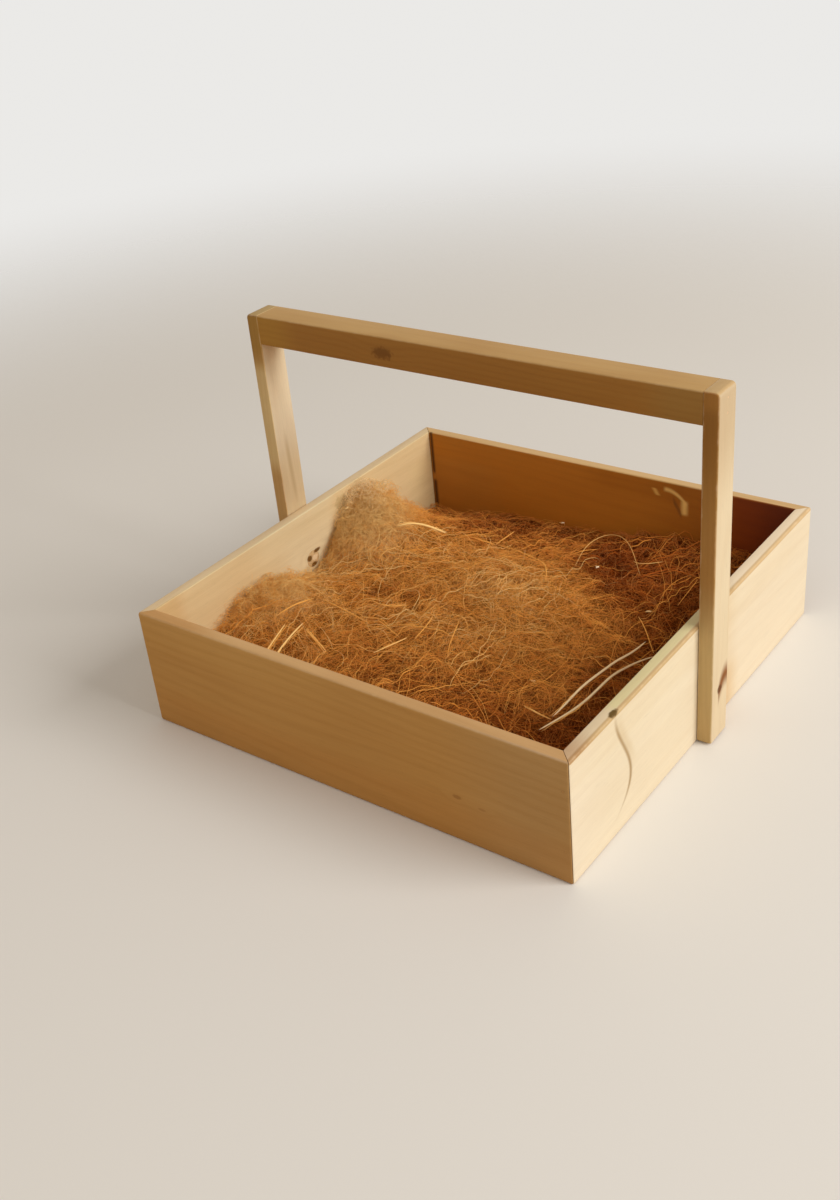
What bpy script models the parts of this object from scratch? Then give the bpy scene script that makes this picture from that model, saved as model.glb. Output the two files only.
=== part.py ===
# Shallow wooden carrying box for berries: four mitred boards round a panel let into
# their grooves, a fixed handle of two posts and a bar, and a loose bed of fibre.
# Metres, +Z up, the front towards -Y. The origin is the middle of the box on the
# surface that it stands on.

import math

import bmesh
import bpy
from mathutils import Vector

# Box
BOX_WIDTH = 0.300  # outside, along X
BOX_DEPTH = 0.300  # outside, along Y
BOARD_HEIGHT = 0.079
BOARD_THICKNESS = 0.008
BOARD_EDGE_RADIUS = 0.0010

# Bottom panel, held in a groove in each board
PANEL_THICKNESS = 0.004
PANEL_RISE = 0.006  # from the boards' bottom edges up to the groove
GROOVE_DEPTH = 0.004

# Handle
HANDLE_HEIGHT = 0.218  # from the floor to the top of the bar
POST_WIDTH = 0.020  # along Y, and the bar's depth too
POST_THICKNESS = 0.009
POST_FOOT_RISE = 0.001  # the box stands on its boards, not on the posts
BAR_HEIGHT = 0.019
HANDLE_EDGE_RADIUS = 0.0012
EDGE_STEPS = 3

# Dowels between boards and posts, blind in the post
DOWEL_RADIUS = 0.006
DOWEL_COVER = 0.003  # wood left in the post past the blind hole
DOWEL_SIDES = 24

# Headless steel pins
PIN_RADIUS = 0.0007
PIN_TIP = 0.0018
PIN_BITE = 0.012  # length in the second piece
PIN_SIDES = 10

# Bed of fibre
BEDDING_DEPTH = 0.028
BEDDING_HEAP = 0.026  # the tallest hill, above the bed
BEDDING_STEPS = 28

# Clearances
FIT_GAP = 0.0003  # between pieces that touch
PIN_CLEARANCE = 0.0002  # round a pin or dowel
BEDDING_CLEARANCE = 0.0008  # from the bedding to the walls
CUT_OVERRUN = 0.002

# Heights of the fasteners, as shares of a board's height above its groove
CORNER_PIN_SHARES = (0.15, 0.72)
DOWEL_SHARE = 0.47
POST_PIN_SHARE = 0.14

# Heights of the pins in the bar's ends, as shares of the bar's height
BAR_PIN_SHARES = (0.28, 0.72)

# Hills and hollows of the bedding: place as shares of half the inside width and depth,
# height as a share of BEDDING_HEAP, spread as a share of half the inside width
HILL_SHARES = (
    (-0.94, 0.38, 1.00, 0.20),
    (-0.88, -0.42, 0.50, 0.20),
    (-1.02, -0.03, -0.42, 0.13),
    (-1.00, -0.92, -0.30, 0.20),
    (-0.35, 0.05, 0.18, 0.30),
    (0.30, 0.10, 0.20, 0.34),
    (0.50, 0.95, 0.10, 0.22),
    (-0.10, -0.80, 0.16, 0.32),
    (-0.95, 1.02, -0.80, 0.24),
    (-0.25, 1.02, -0.42, 0.30),
    (1.00, -1.00, -0.50, 0.34),
    (1.00, 0.10, -0.24, 0.22),
)

# Worked out from the sizes above
PANEL_TOP = PANEL_RISE + FIT_GAP + PANEL_THICKNESS
GROOVE_TOP = PANEL_TOP + FIT_GAP
BOARD_ABOVE_GROOVE = BOARD_HEIGHT - GROOVE_TOP
INNER_WIDTH = BOX_WIDTH - 2 * BOARD_THICKNESS
INNER_DEPTH = BOX_DEPTH - 2 * BOARD_THICKNESS
PANEL_REACH = GROOVE_DEPTH - FIT_GAP
POST_INNER_X = BOX_WIDTH / 2 + FIT_GAP
POST_OUTER_X = POST_INNER_X + POST_THICKNESS
BAR_BOTTOM = HANDLE_HEIGHT - BAR_HEIGHT
MITRE_SETBACK = FIT_GAP / math.sqrt(2)  # moves each mitred end back by half the gap

PINE = ((0.62, 0.42, 0.22), 0.60, 0.0)
PINE_PALE = ((0.70, 0.50, 0.28), 0.60, 0.0)
PINE_DARK = ((0.50, 0.31, 0.14), 0.62, 0.0)
PANEL_WOOD = ((0.55, 0.38, 0.20), 0.70, 0.0)
STEEL = ((0.42, 0.38, 0.33), 0.40, 0.9)
FIBRE = ((0.36, 0.19, 0.07), 0.95, 0.0)


def clear_scene():
    for obj in list(bpy.data.objects):
        bpy.data.objects.remove(obj, do_unlink=True)


def new_material(name, finish):
    colour, roughness, metallic = finish
    material = bpy.data.materials.new(name)
    material.use_nodes = True
    shader = material.node_tree.nodes["Principled BSDF"]
    shader.inputs["Base Color"].default_value = (*colour, 1.0)
    shader.inputs["Roughness"].default_value = roughness
    shader.inputs["Metallic"].default_value = metallic
    return material


def new_object(name, shape, finish=None):
    """An object from a bmesh. With no finish it is a cutter, which isn't part of the model."""
    bmesh.ops.recalc_face_normals(shape, faces=shape.faces)
    mesh = bpy.data.meshes.new(name)
    shape.to_mesh(mesh)
    shape.free()
    obj = bpy.data.objects.new(name, mesh)
    bpy.context.scene.collection.objects.link(obj)
    if finish:
        mesh.materials.append(new_material(name, finish))
    else:
        obj.hide_render = True
        obj.display_type = "WIRE"
    return obj


def turn(obj, place, angle):
    obj.location = place
    obj.rotation_euler = (0.0, 0.0, angle)


def cut(piece, cutter):
    hole = piece.modifiers.new(cutter.name, "BOOLEAN")
    hole.operation = "DIFFERENCE"
    hole.object = cutter


def eased_corner(corner, along, across, radius):
    """Points of a quarter round at a corner of an outline, from one side to the other."""
    centre = Vector(corner) + radius * (Vector(along) + Vector(across))
    points = []
    for step in range(EDGE_STEPS + 1):
        angle = step * math.pi / 2 / EDGE_STEPS
        offset = Vector(along) * math.sin(angle) + Vector(across) * math.cos(angle)
        points.append(centre - radius * offset)
    return points


def board_outline():
    """A board's cross-section, as (depth from the outer face, height)."""
    near = BOARD_THICKNESS - GROOVE_DEPTH
    top_outer = eased_corner((0, BOARD_HEIGHT), (1, 0), (0, -1), BOARD_EDGE_RADIUS)
    top_inner = eased_corner((BOARD_THICKNESS, BOARD_HEIGHT), (0, -1), (-1, 0), BOARD_EDGE_RADIUS)
    groove = [
        (BOARD_THICKNESS, GROOVE_TOP),
        (near, GROOVE_TOP),
        (near, PANEL_RISE),
        (BOARD_THICKNESS, PANEL_RISE),
    ]
    foot = [(BOARD_THICKNESS, 0), (0, 0)]
    return [tuple(point) for point in top_outer[::-1] + top_inner[::-1]] + groove + foot


def make_board(name, length, place, angle, finish):
    """A mitred board. Its outer face is at local y = 0 and faces -y, its inner face at +y."""
    outline = board_outline()
    shape = bmesh.new()
    ends = []
    for side in (-1, 1):
        ring = []
        for depth, height in outline:
            x = side * (length / 2 - depth - MITRE_SETBACK)
            ring.append(shape.verts.new((x, depth, height)))
        ends.append(ring)
        shape.faces.new(ring)
    for index in range(len(outline)):
        after = (index + 1) % len(outline)
        shape.faces.new((ends[0][index], ends[0][after], ends[1][after], ends[1][index]))
    board = new_object(name, shape, finish)
    turn(board, place, angle)
    return board


def make_block(name, low, high, radius, finish):
    """A block between two corners, all its edges rounded when it has a radius."""
    shape = bmesh.new()
    bmesh.ops.create_cube(shape, size=1.0)
    middle = (Vector(low) + Vector(high)) / 2
    size = Vector(high) - Vector(low)
    for vert in shape.verts:
        vert.co = Vector(a * b for a, b in zip(vert.co, size))
    if radius:
        bmesh.ops.bevel(
            shape,
            geom=shape.edges[:],
            offset=radius,
            segments=EDGE_STEPS,
            profile=0.5,
            affect="EDGES",
            clamp_overlap=True,
        )
    block = new_object(name, shape, finish)
    block.location = middle
    return block


def make_turned(name, profile, sides, start, direction, finish=None):
    """A turned solid: (radius, distance) pairs along a direction from its start.
    A first or last radius of zero is a point."""
    shape = bmesh.new()
    rings = []
    for radius, distance in profile:
        count = sides if radius else 1
        ring = []
        for step in range(count):
            angle = 2 * math.pi * step / sides
            ring.append(shape.verts.new((radius * math.cos(angle), radius * math.sin(angle), distance)))
        rings.append(ring)
    for low, high in zip(rings, rings[1:]):
        for step in range(sides):
            after = (step + 1) % sides
            corners = [low[step % len(low)], low[after % len(low)]]
            corners += [high[after % len(high)], high[step % len(high)]]
            shape.faces.new(list(dict.fromkeys(corners)))
    for ring in (rings[0], rings[-1]):
        if len(ring) > 1:
            shape.faces.new(ring)
    turned = new_object(name, shape, finish)
    turned.location = start
    turned.rotation_euler = Vector(direction).to_track_quat("Z", "Y").to_euler()
    turned.data.shade_smooth()
    turned.data.set_sharp_from_angle(angle=math.radians(40))
    return turned


def fasten(name, start, direction, length, radius, tip, sides, finish, pieces):
    """A pin or dowel driven in from its start, and the hole for it in each piece it enters."""
    start = Vector(start)
    direction = Vector(direction)
    if tip:
        profile = [(radius, 0), (radius, length - tip), (0, length)]
    else:
        profile = [(radius, 0), (radius, length)]
    make_turned(name, profile, sides, start, direction, finish)
    wide = radius + PIN_CLEARANCE
    hole = [(wide, 0), (wide, CUT_OVERRUN + length + PIN_CLEARANCE)]
    cutter = make_turned(name + "_hole", hole, sides, start - CUT_OVERRUN * direction, direction)
    for piece in pieces:
        cut(piece, cutter)


def above_groove(share):
    return GROOVE_TOP + share * BOARD_ABOVE_GROOVE


def make_boards():
    back = math.pi
    left = -math.pi / 2
    right = math.pi / 2
    return {
        "front": make_board("front_board", BOX_WIDTH, (0, -BOX_DEPTH / 2, 0), 0.0, PINE_DARK),
        "back": make_board("back_board", BOX_WIDTH, (0, BOX_DEPTH / 2, 0), back, PINE_DARK),
        "left": make_board("left_board", BOX_DEPTH, (-BOX_WIDTH / 2, 0, 0), left, PINE),
        "right": make_board("right_board", BOX_DEPTH, (BOX_WIDTH / 2, 0, 0), right, PINE_PALE),
    }


def make_panel():
    half = Vector((INNER_WIDTH / 2 + PANEL_REACH, INNER_DEPTH / 2 + PANEL_REACH, 0))
    low = -half + Vector((0, 0, PANEL_RISE + FIT_GAP))
    high = half + Vector((0, 0, PANEL_TOP))
    return make_block("bottom_panel", low, high, 0.0, PANEL_WOOD)


def make_posts():
    posts = {}
    for name, side in (("left", -1), ("right", 1)):
        ends = sorted((side * POST_INNER_X, side * POST_OUTER_X))
        low = (ends[0], -POST_WIDTH / 2, POST_FOOT_RISE)
        high = (ends[1], POST_WIDTH / 2, HANDLE_HEIGHT)
        posts[name] = make_block(name + "_post", low, high, HANDLE_EDGE_RADIUS, PINE_PALE)
    return posts


def make_bar():
    """The bar's long edges are rounded like the posts', and its ends are cut square."""
    length = 2 * (POST_INNER_X - FIT_GAP)
    half = Vector((0, POST_WIDTH / 2, BAR_HEIGHT / 2))
    outline = []
    for across, up in ((-1, 1), (1, 1), (1, -1), (-1, -1)):
        corner = (across * half.y, up * half.z)
        first, second = ((0, -up), (-across, 0))
        if across == up:
            first, second = second, first
        outline += eased_corner(corner, first, second, HANDLE_EDGE_RADIUS)
    shape = bmesh.new()
    ends = []
    for side in (-1, 1):
        ring = [shape.verts.new((side * length / 2, y, z)) for y, z in outline]
        ends.append(ring)
        shape.faces.new(ring)
    for index in range(len(outline)):
        after = (index + 1) % len(outline)
        shape.faces.new((ends[0][index], ends[0][after], ends[1][after], ends[1][index]))
    bar = new_object("handle_bar", shape, PINE)
    bar.location = (0, 0, BAR_BOTTOM + BAR_HEIGHT / 2)
    return bar


def pin_corners(boards):
    """Two pins in each mitred corner, from the front or back board into the side board's end."""
    x = BOX_WIDTH / 2 - BOARD_THICKNESS / 2
    y = BOX_DEPTH / 2
    length = BOARD_THICKNESS + PIN_BITE
    for face, inwards in (("front", 1), ("back", -1)):
        for side, sign in (("left", -1), ("right", 1)):
            for level, share in zip(("low", "high"), CORNER_PIN_SHARES):
                start = (sign * x, -inwards * y, above_groove(share))
                fasten(
                    f"{face}_{side}_pin_{level}",
                    start,
                    (0, inwards, 0),
                    length,
                    PIN_RADIUS,
                    PIN_TIP,
                    PIN_SIDES,
                    STEEL,
                    (boards[face], boards[side]),
                )


def join_handle(boards, posts, bar):
    """A dowel and a pin from inside into each post, and two pins through it into the bar."""
    bite = POST_THICKNESS - DOWEL_COVER
    inner_x = INNER_WIDTH / 2
    for name, sign in (("left", -1), ("right", 1)):
        outwards = (sign, 0, 0)
        through = BOARD_THICKNESS + FIT_GAP + bite
        held = (boards[name], posts[name])
        dowel_start = (sign * inner_x, 0, above_groove(DOWEL_SHARE))
        fasten(
            f"{name}_dowel", dowel_start, outwards, through,
            DOWEL_RADIUS, 0.0, DOWEL_SIDES, PINE_PALE, held,
        )
        pin_start = (sign * inner_x, 0, above_groove(POST_PIN_SHARE))
        fasten(
            f"{name}_post_pin", pin_start, outwards, through,
            PIN_RADIUS, PIN_TIP, PIN_SIDES, STEEL, held,
        )
        for level, share in zip(("low", "high"), BAR_PIN_SHARES):
            start = (sign * POST_OUTER_X, 0, BAR_BOTTOM + share * BAR_HEIGHT)
            length = POST_THICKNESS + FIT_GAP + PIN_BITE
            fasten(
                f"{name}_bar_pin_{level}", start, (-sign, 0, 0), length,
                PIN_RADIUS, PIN_TIP, PIN_SIDES, STEEL, (posts[name], bar),
            )


def bedding_height(x_share, y_share):
    """How far the fibre's top stands above its underside at a place in the box."""
    height = BEDDING_DEPTH
    for hill_x, hill_y, tall, spread in HILL_SHARES:
        away = ((x_share - hill_x) ** 2 + (y_share - hill_y) ** 2) / (2 * spread**2)
        height += BEDDING_HEAP * tall * math.exp(-away)
    return height


def make_bedding():
    """One closed heap: a grid over the inside of the box, with walls and a flat underside."""
    half_x = INNER_WIDTH / 2 - BEDDING_CLEARANCE
    half_y = INNER_DEPTH / 2 - BEDDING_CLEARANCE
    bottom = PANEL_TOP + FIT_GAP
    shape = bmesh.new()
    top = {}
    for i in range(BEDDING_STEPS + 1):
        for j in range(BEDDING_STEPS + 1):
            u = 2 * i / BEDDING_STEPS - 1
            v = 2 * j / BEDDING_STEPS - 1
            z = bottom + bedding_height(u, v)
            top[i, j] = shape.verts.new((u * half_x, v * half_y, z))
    for i in range(BEDDING_STEPS):
        for j in range(BEDDING_STEPS):
            shape.faces.new((top[i, j], top[i + 1, j], top[i + 1, j + 1], top[i, j + 1]))
    last = BEDDING_STEPS
    rim = [top[i, 0] for i in range(last)]
    rim += [top[last, j] for j in range(last)]
    rim += [top[i, last] for i in range(last, 0, -1)]
    rim += [top[0, j] for j in range(last, 0, -1)]
    foot = [shape.verts.new((vert.co.x, vert.co.y, bottom)) for vert in rim]
    for index in range(len(rim)):
        after = (index + 1) % len(rim)
        shape.faces.new((rim[index], rim[after], foot[after], foot[index]))
    shape.faces.new(foot)
    bedding = new_object("bedding", shape, FIBRE)
    bedding.data.shade_smooth()
    bedding.data.set_sharp_from_angle(angle=math.radians(50))
    return bedding


def main():
    clear_scene()
    boards = make_boards()
    make_panel()
    posts = make_posts()
    bar = make_bar()
    pin_corners(boards)
    join_handle(boards, posts, bar)
    make_bedding()


main()
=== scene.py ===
import math

import bmesh
import bpy
import numpy as np
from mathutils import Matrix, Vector


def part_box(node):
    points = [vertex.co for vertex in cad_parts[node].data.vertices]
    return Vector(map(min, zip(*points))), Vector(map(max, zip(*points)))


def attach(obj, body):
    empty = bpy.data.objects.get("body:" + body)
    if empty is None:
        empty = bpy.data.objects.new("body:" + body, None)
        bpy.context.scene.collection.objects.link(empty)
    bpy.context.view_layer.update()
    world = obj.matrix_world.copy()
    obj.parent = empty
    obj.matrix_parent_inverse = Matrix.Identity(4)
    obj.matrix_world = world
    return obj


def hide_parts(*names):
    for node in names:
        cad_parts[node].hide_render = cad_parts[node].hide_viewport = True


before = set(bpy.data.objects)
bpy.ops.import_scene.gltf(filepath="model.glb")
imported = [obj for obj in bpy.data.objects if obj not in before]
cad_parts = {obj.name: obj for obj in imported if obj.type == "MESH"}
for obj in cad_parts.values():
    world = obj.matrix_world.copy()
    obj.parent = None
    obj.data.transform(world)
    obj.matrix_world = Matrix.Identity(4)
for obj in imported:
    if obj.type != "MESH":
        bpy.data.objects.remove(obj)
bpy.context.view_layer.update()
print("frame loaded,", len(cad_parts), "nodes")


# Camera, floor and light

cameraView = {
    "place": (0.42825, -0.59629, 0.48857),
    "turn": (59.201, 5.067, 35.85),  # degrees
    "lens": 40.872,
    "sensor": 36.0,
}

studio = {
    "floorSize": 8.0,
    "floorColour": (0.80, 0.79, 0.77, 1.0),
    "floorBounce": (0.68, 0.54, 0.39, 1.0),  # what the floor sends back on to the object
    "floorFade": (0.55, 1.50),
    "backdropColour": (0.83, 0.82, 0.80, 1.0),
    "skyColour": (1.0, 0.87, 0.72, 1.0),
    "skyStrength": 0.42,
    "lamps": {
        "fillLamp": {
            "place": (0.660, -1.810, 2.300), "size": 1.60, "power": 7.0, "colour": (1.0, 0.96, 0.92),
        },
        "keyLamp": {
            "place": (2.513, 0.534, 1.666), "size": 1.80, "power": 72.0, "colour": (1.0, 0.97, 0.92),
        },
    },
    "lampAim": (0, 0, 0.06),
}


def addCamera():
    turn = [math.radians(angle) for angle in cameraView["turn"]]
    bpy.ops.object.camera_add(location=cameraView["place"], rotation=turn)
    camera = bpy.context.object
    camera.name = "photoCamera"
    camera.data.sensor_fit = "AUTO"
    camera.data.sensor_width = cameraView["sensor"]
    camera.data.lens = cameraView["lens"]
    camera.data.clip_start = 0.01
    camera.data.clip_end = 100.0
    bpy.context.scene.camera = camera


# Helpers for node trees

def put(tree, kind, inputs=None, **settings):
    made = tree.nodes.new(kind)
    for name, value in settings.items():
        setattr(made, name, value)
    for name, value in (inputs or {}).items():
        if isinstance(value, bpy.types.NodeSocket):
            tree.links.new(value, made.inputs[name])
        elif value is not None:
            made.inputs[name].default_value = value
    return made


def reckon(tree, operation, *values, clamp=False):
    made = put(tree, "ShaderNodeMath", dict(enumerate(values)), operation=operation, use_clamp=clamp)
    return made.outputs[0]


def vectorReckon(tree, operation, *values):
    made = put(tree, "ShaderNodeVectorMath", dict(enumerate(values)), operation=operation)
    return made.outputs["Value" if operation == "LENGTH" else "Vector"]


def fade(tree, value, low, high, start=0.0, finish=1.0):
    spots = {"Value": value, "From Min": low, "From Max": high, "To Min": start, "To Max": finish}
    return put(tree, "ShaderNodeMapRange", spots, interpolation_type="SMOOTHSTEP").outputs[0]


def speckle(tree, place, scale, detail=2.0, roughness=0.5):
    stretched = vectorReckon(tree, "MULTIPLY", place, scale)
    spots = {"Vector": stretched, "Scale": 1.0, "Detail": detail, "Roughness": roughness}
    return put(tree, "ShaderNodeTexNoise", spots).outputs


def blendColour(tree, share, first, second, blendType="MIX"):
    spots = {0: share, 6: first, 7: second}
    made = put(tree, "ShaderNodeMix", spots, data_type="RGBA", blend_type=blendType, clamp_result=False)
    return made.outputs[2]


def newGroup(name, takes, gives):
    group = bpy.data.node_groups.new(name, "ShaderNodeTree")
    for label, (kind, value) in takes.items():
        socket = group.interface.new_socket(label, in_out="INPUT", socket_type="NodeSocket" + kind)
        if value is not None:
            socket.default_value = value
    for label, kind in gives.items():
        group.interface.new_socket(label, in_out="OUTPUT", socket_type="NodeSocket" + kind)
    entry = group.nodes.new("NodeGroupInput").outputs
    leaving = group.nodes.new("NodeGroupOutput").inputs
    return group, entry, leaving


def useGroup(tree, group, inputs):
    return put(tree, "ShaderNodeGroup", inputs, node_tree=group).outputs


# Wood: one group for the grain, one for knots, one for drawn lines and one for worn edges

def buildPineGrain():
    takes = {
        "Place": ("Vector", None),
        "Pale": ("Color", (0.8, 0.6, 0.4, 1.0)),
        "Deep": ("Color", (0.6, 0.4, 0.2, 1.0)),
        "Figure": ("Float", 0.4),
        "Spacing": ("Float", 0.004),
        "Bend": ("Float", 0.0),
    }
    gives = {"Color": "Color", "Gloss": "Float", "Height": "Float"}
    group, entry, leaving = newGroup("pineGrain", takes, gives)
    place = entry["Place"]
    drift = speckle(group, place, (5.0, 26.0, 26.0), 1.0)
    drift = put(group, "ShaderNodeSeparateColor", {"Color": drift["Color"]}).outputs
    spot = put(group, "ShaderNodeSeparateXYZ", {"Vector": place}).outputs
    across = reckon(group, "ADD", spot["Y"], reckon(group, "MULTIPLY_ADD", drift[0], 0.014, -0.007))
    deep = reckon(group, "ADD", spot["Z"], reckon(group, "MULTIPLY_ADD", drift[1], 0.014, -0.007))
    ring = put(group, "ShaderNodeCombineXYZ", {"Y": across, "Z": deep}).outputs[0]
    ring = vectorReckon(group, "LENGTH", ring)
    ring = reckon(group, "ADD", ring, reckon(group, "MULTIPLY", spot["X"], 0.035))
    ring = reckon(group, "ADD", ring, entry["Bend"])
    wave = reckon(group, "DIVIDE", reckon(group, "MULTIPLY", ring, math.tau), entry["Spacing"])
    wave = reckon(group, "MULTIPLY_ADD", reckon(group, "SINE", wave), 0.5, 0.5)
    late = reckon(group, "POWER", wave, 2.2)
    fine = speckle(group, place, (55.0, 1700.0, 1700.0), 2.0, 0.6)[0]
    streak = speckle(group, place, (8.0, 230.0, 230.0), 3.0, 0.6)[0]
    broad = speckle(group, place, (9.0, 22.0, 22.0), 2.0)[0]
    share = reckon(group, "MULTIPLY", late, 0.50)
    share = reckon(group, "MULTIPLY_ADD", fade(group, streak, 0.35, 0.75), 0.45, share)
    share = reckon(group, "MULTIPLY", share, entry["Figure"])
    share = reckon(group, "MULTIPLY_ADD", fade(group, broad, 0.3, 0.7), 0.30, share, clamp=True)
    colour = blendColour(group, share, entry["Pale"], entry["Deep"])
    pores = fade(group, speckle(group, place, (150.0, 2600.0, 2600.0), 1.0)[0], 0.66, 0.78)
    dust = reckon(group, "MULTIPLY_ADD", fine, 0.16, 0.92)
    dust = reckon(group, "SUBTRACT", dust, reckon(group, "MULTIPLY", pores, 0.10))
    shade = put(group, "ShaderNodeCombineColor", {0: dust, 1: dust, 2: dust}).outputs[0]
    colour = blendColour(group, 1.0, colour, shade, "MULTIPLY")
    group.links.new(colour, leaving["Color"])
    group.links.new(reckon(group, "MULTIPLY_ADD", fine, 0.20, 0.54), leaving["Gloss"])
    height = reckon(group, "MULTIPLY_ADD", late, -0.25, reckon(group, "MULTIPLY", fine, 0.75))
    height = reckon(group, "SUBTRACT", height, reckon(group, "MULTIPLY", pores, 0.5))
    group.links.new(height, leaving["Height"])
    return group


def buildKnot():
    takes = {
        "Place": ("Vector", None),
        "Centre": ("Vector", None),
        "Size": ("Vector", (0.004, 0.004, 0.004)),
        "Ragged": ("Float", 0.5),
    }
    group, entry, leaving = newGroup("knot", takes, {"Core": "Float", "Halo": "Float"})
    away = vectorReckon(group, "SUBTRACT", entry["Place"], entry["Centre"])
    away = vectorReckon(group, "LENGTH", vectorReckon(group, "DIVIDE", away, entry["Size"]))
    torn = speckle(group, entry["Place"], (420.0, 420.0, 420.0), 2.0)[0]
    torn = reckon(group, "MULTIPLY", reckon(group, "SUBTRACT", torn, 0.5), entry["Ragged"])
    group.links.new(fade(group, reckon(group, "ADD", away, torn), 0.55, 1.05, 1.0, 0.0), leaving["Core"])
    group.links.new(fade(group, away, 0.6, 4.0, 1.0, 0.0), leaving["Halo"])
    return group


def buildDrawnLine():
    takes = {
        "Along": ("Float", 0.0),
        "Across": ("Float", 0.0),
        "Offset": ("Float", 0.0),
        "Slope": ("Float", 0.0),
        "Curve": ("Float", 0.0),
        "Cube": ("Float", 0.0),
        "Width": ("Float", 0.001),
        "Start": ("Float", 0.0),
        "Finish": ("Float", 1.0),
        "Taper": ("Float", 0.01),
    }
    group, entry, leaving = newGroup("drawnLine", takes, {"Mask": "Float"})
    along = entry["Along"]
    line = reckon(group, "MULTIPLY_ADD", along, entry["Cube"], entry["Curve"])
    line = reckon(group, "MULTIPLY_ADD", along, line, entry["Slope"])
    line = reckon(group, "MULTIPLY_ADD", along, line, entry["Offset"])
    away = reckon(group, "ABSOLUTE", reckon(group, "SUBTRACT", entry["Across"], line))
    mask = fade(group, reckon(group, "DIVIDE", away, entry["Width"]), 0.0, 1.0, 1.0, 0.0)
    begun = fade(group, along, entry["Start"], reckon(group, "ADD", entry["Start"], entry["Taper"]))
    fading = reckon(group, "SUBTRACT", entry["Finish"], entry["Taper"])
    ended = fade(group, along, fading, entry["Finish"], 1.0, 0.0)
    mask = reckon(group, "MULTIPLY", reckon(group, "MULTIPLY", mask, begun), ended)
    group.links.new(mask, leaving["Mask"])
    return group


def buildEdgeWear():
    takes = {
        "Place": ("Vector", None),
        "Centre": ("Vector", None),
        "Half": ("Vector", (0.1, 0.1, 0.1)),
        "Reach": ("Float", 0.002),
    }
    group, entry, leaving = newGroup("edgeWear", takes, {"Mask": "Float"})
    away = vectorReckon(group, "ABSOLUTE", vectorReckon(group, "SUBTRACT", entry["Place"], entry["Centre"]))
    away = vectorReckon(group, "SUBTRACT", away, entry["Half"])
    away = put(group, "ShaderNodeSeparateXYZ", {0: away}).outputs
    most = reckon(group, "MAXIMUM", reckon(group, "MAXIMUM", away[0], away[1]), away[2])
    least = reckon(group, "MINIMUM", reckon(group, "MINIMUM", away[0], away[1]), away[2])
    total = reckon(group, "ADD", reckon(group, "ADD", away[0], away[1]), away[2])
    middle = reckon(group, "SUBTRACT", reckon(group, "SUBTRACT", total, most), least)
    rough = speckle(group, entry["Place"], (140.0, 140.0, 140.0), 3.0)[0]
    rough = reckon(group, "MULTIPLY", reckon(group, "SUBTRACT", rough, 0.55), entry["Reach"])
    middle = reckon(group, "MULTIPLY_ADD", rough, 2.0, middle)
    low = reckon(group, "MULTIPLY", entry["Reach"], -1.0)
    group.links.new(fade(group, middle, low, 0.0), leaving["Mask"])
    return group


pineGrain = buildPineGrain()
knotGroup = buildKnot()
drawnLine = buildDrawnLine()
edgeWear = buildEdgeWear()


def newMaterial(name):
    material = bpy.data.materials.new(name)
    material.use_nodes = True
    return material, material.node_tree


def finishMaterial(material, tree, colour, roughness, height=None, bump=0.15, depth=0.0004, specular=0.25):
    shader = tree.nodes["Principled BSDF"]
    shader.inputs["Specular IOR Level"].default_value = specular
    tree.links.new(colour, shader.inputs["Base Color"])
    if isinstance(roughness, bpy.types.NodeSocket):
        tree.links.new(roughness, shader.inputs["Roughness"])
    else:
        shader.inputs["Roughness"].default_value = roughness
    if height is not None:
        spots = {"Height": height, "Strength": bump, "Distance": depth}
        tree.links.new(put(tree, "ShaderNodeBump", spots).outputs[0], shader.inputs["Normal"])
    return material


def within(tree, axes, limits):
    # 1 where every axis has passed from its first value to its second
    mask = None
    for axis, first, second in limits:
        share = fade(tree, axes[axis], first, second)
        mask = share if mask is None else reckon(tree, "MULTIPLY", mask, share)
    return mask


def knot(centre, size, colour, strength, push=0.004, ragged=0.5):
    # push bends the grain round it
    spot = {"centre": centre, "size": size, "push": push, "ragged": ragged}
    return spot | {"colour": (*colour, 1.0), "strength": strength}


def tintOrShade(colour, *limits, strength=1.0):
    # multiplies the wood's colour within the limits; most of these are painted light and shade, a few the
    # wood's own tone
    return {"colour": (*colour, 1.0), "limits": limits, "strength": strength}


def drawn(along, across, face, colour, strength, **shape):
    # a line on one face; it runs along one axis, and the other one is reckoned from it
    line = {"along": along, "across": across, "limits": (face,), "shape": shape}
    return line | {"colour": (*colour, 1.0), "strength": strength}


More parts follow.
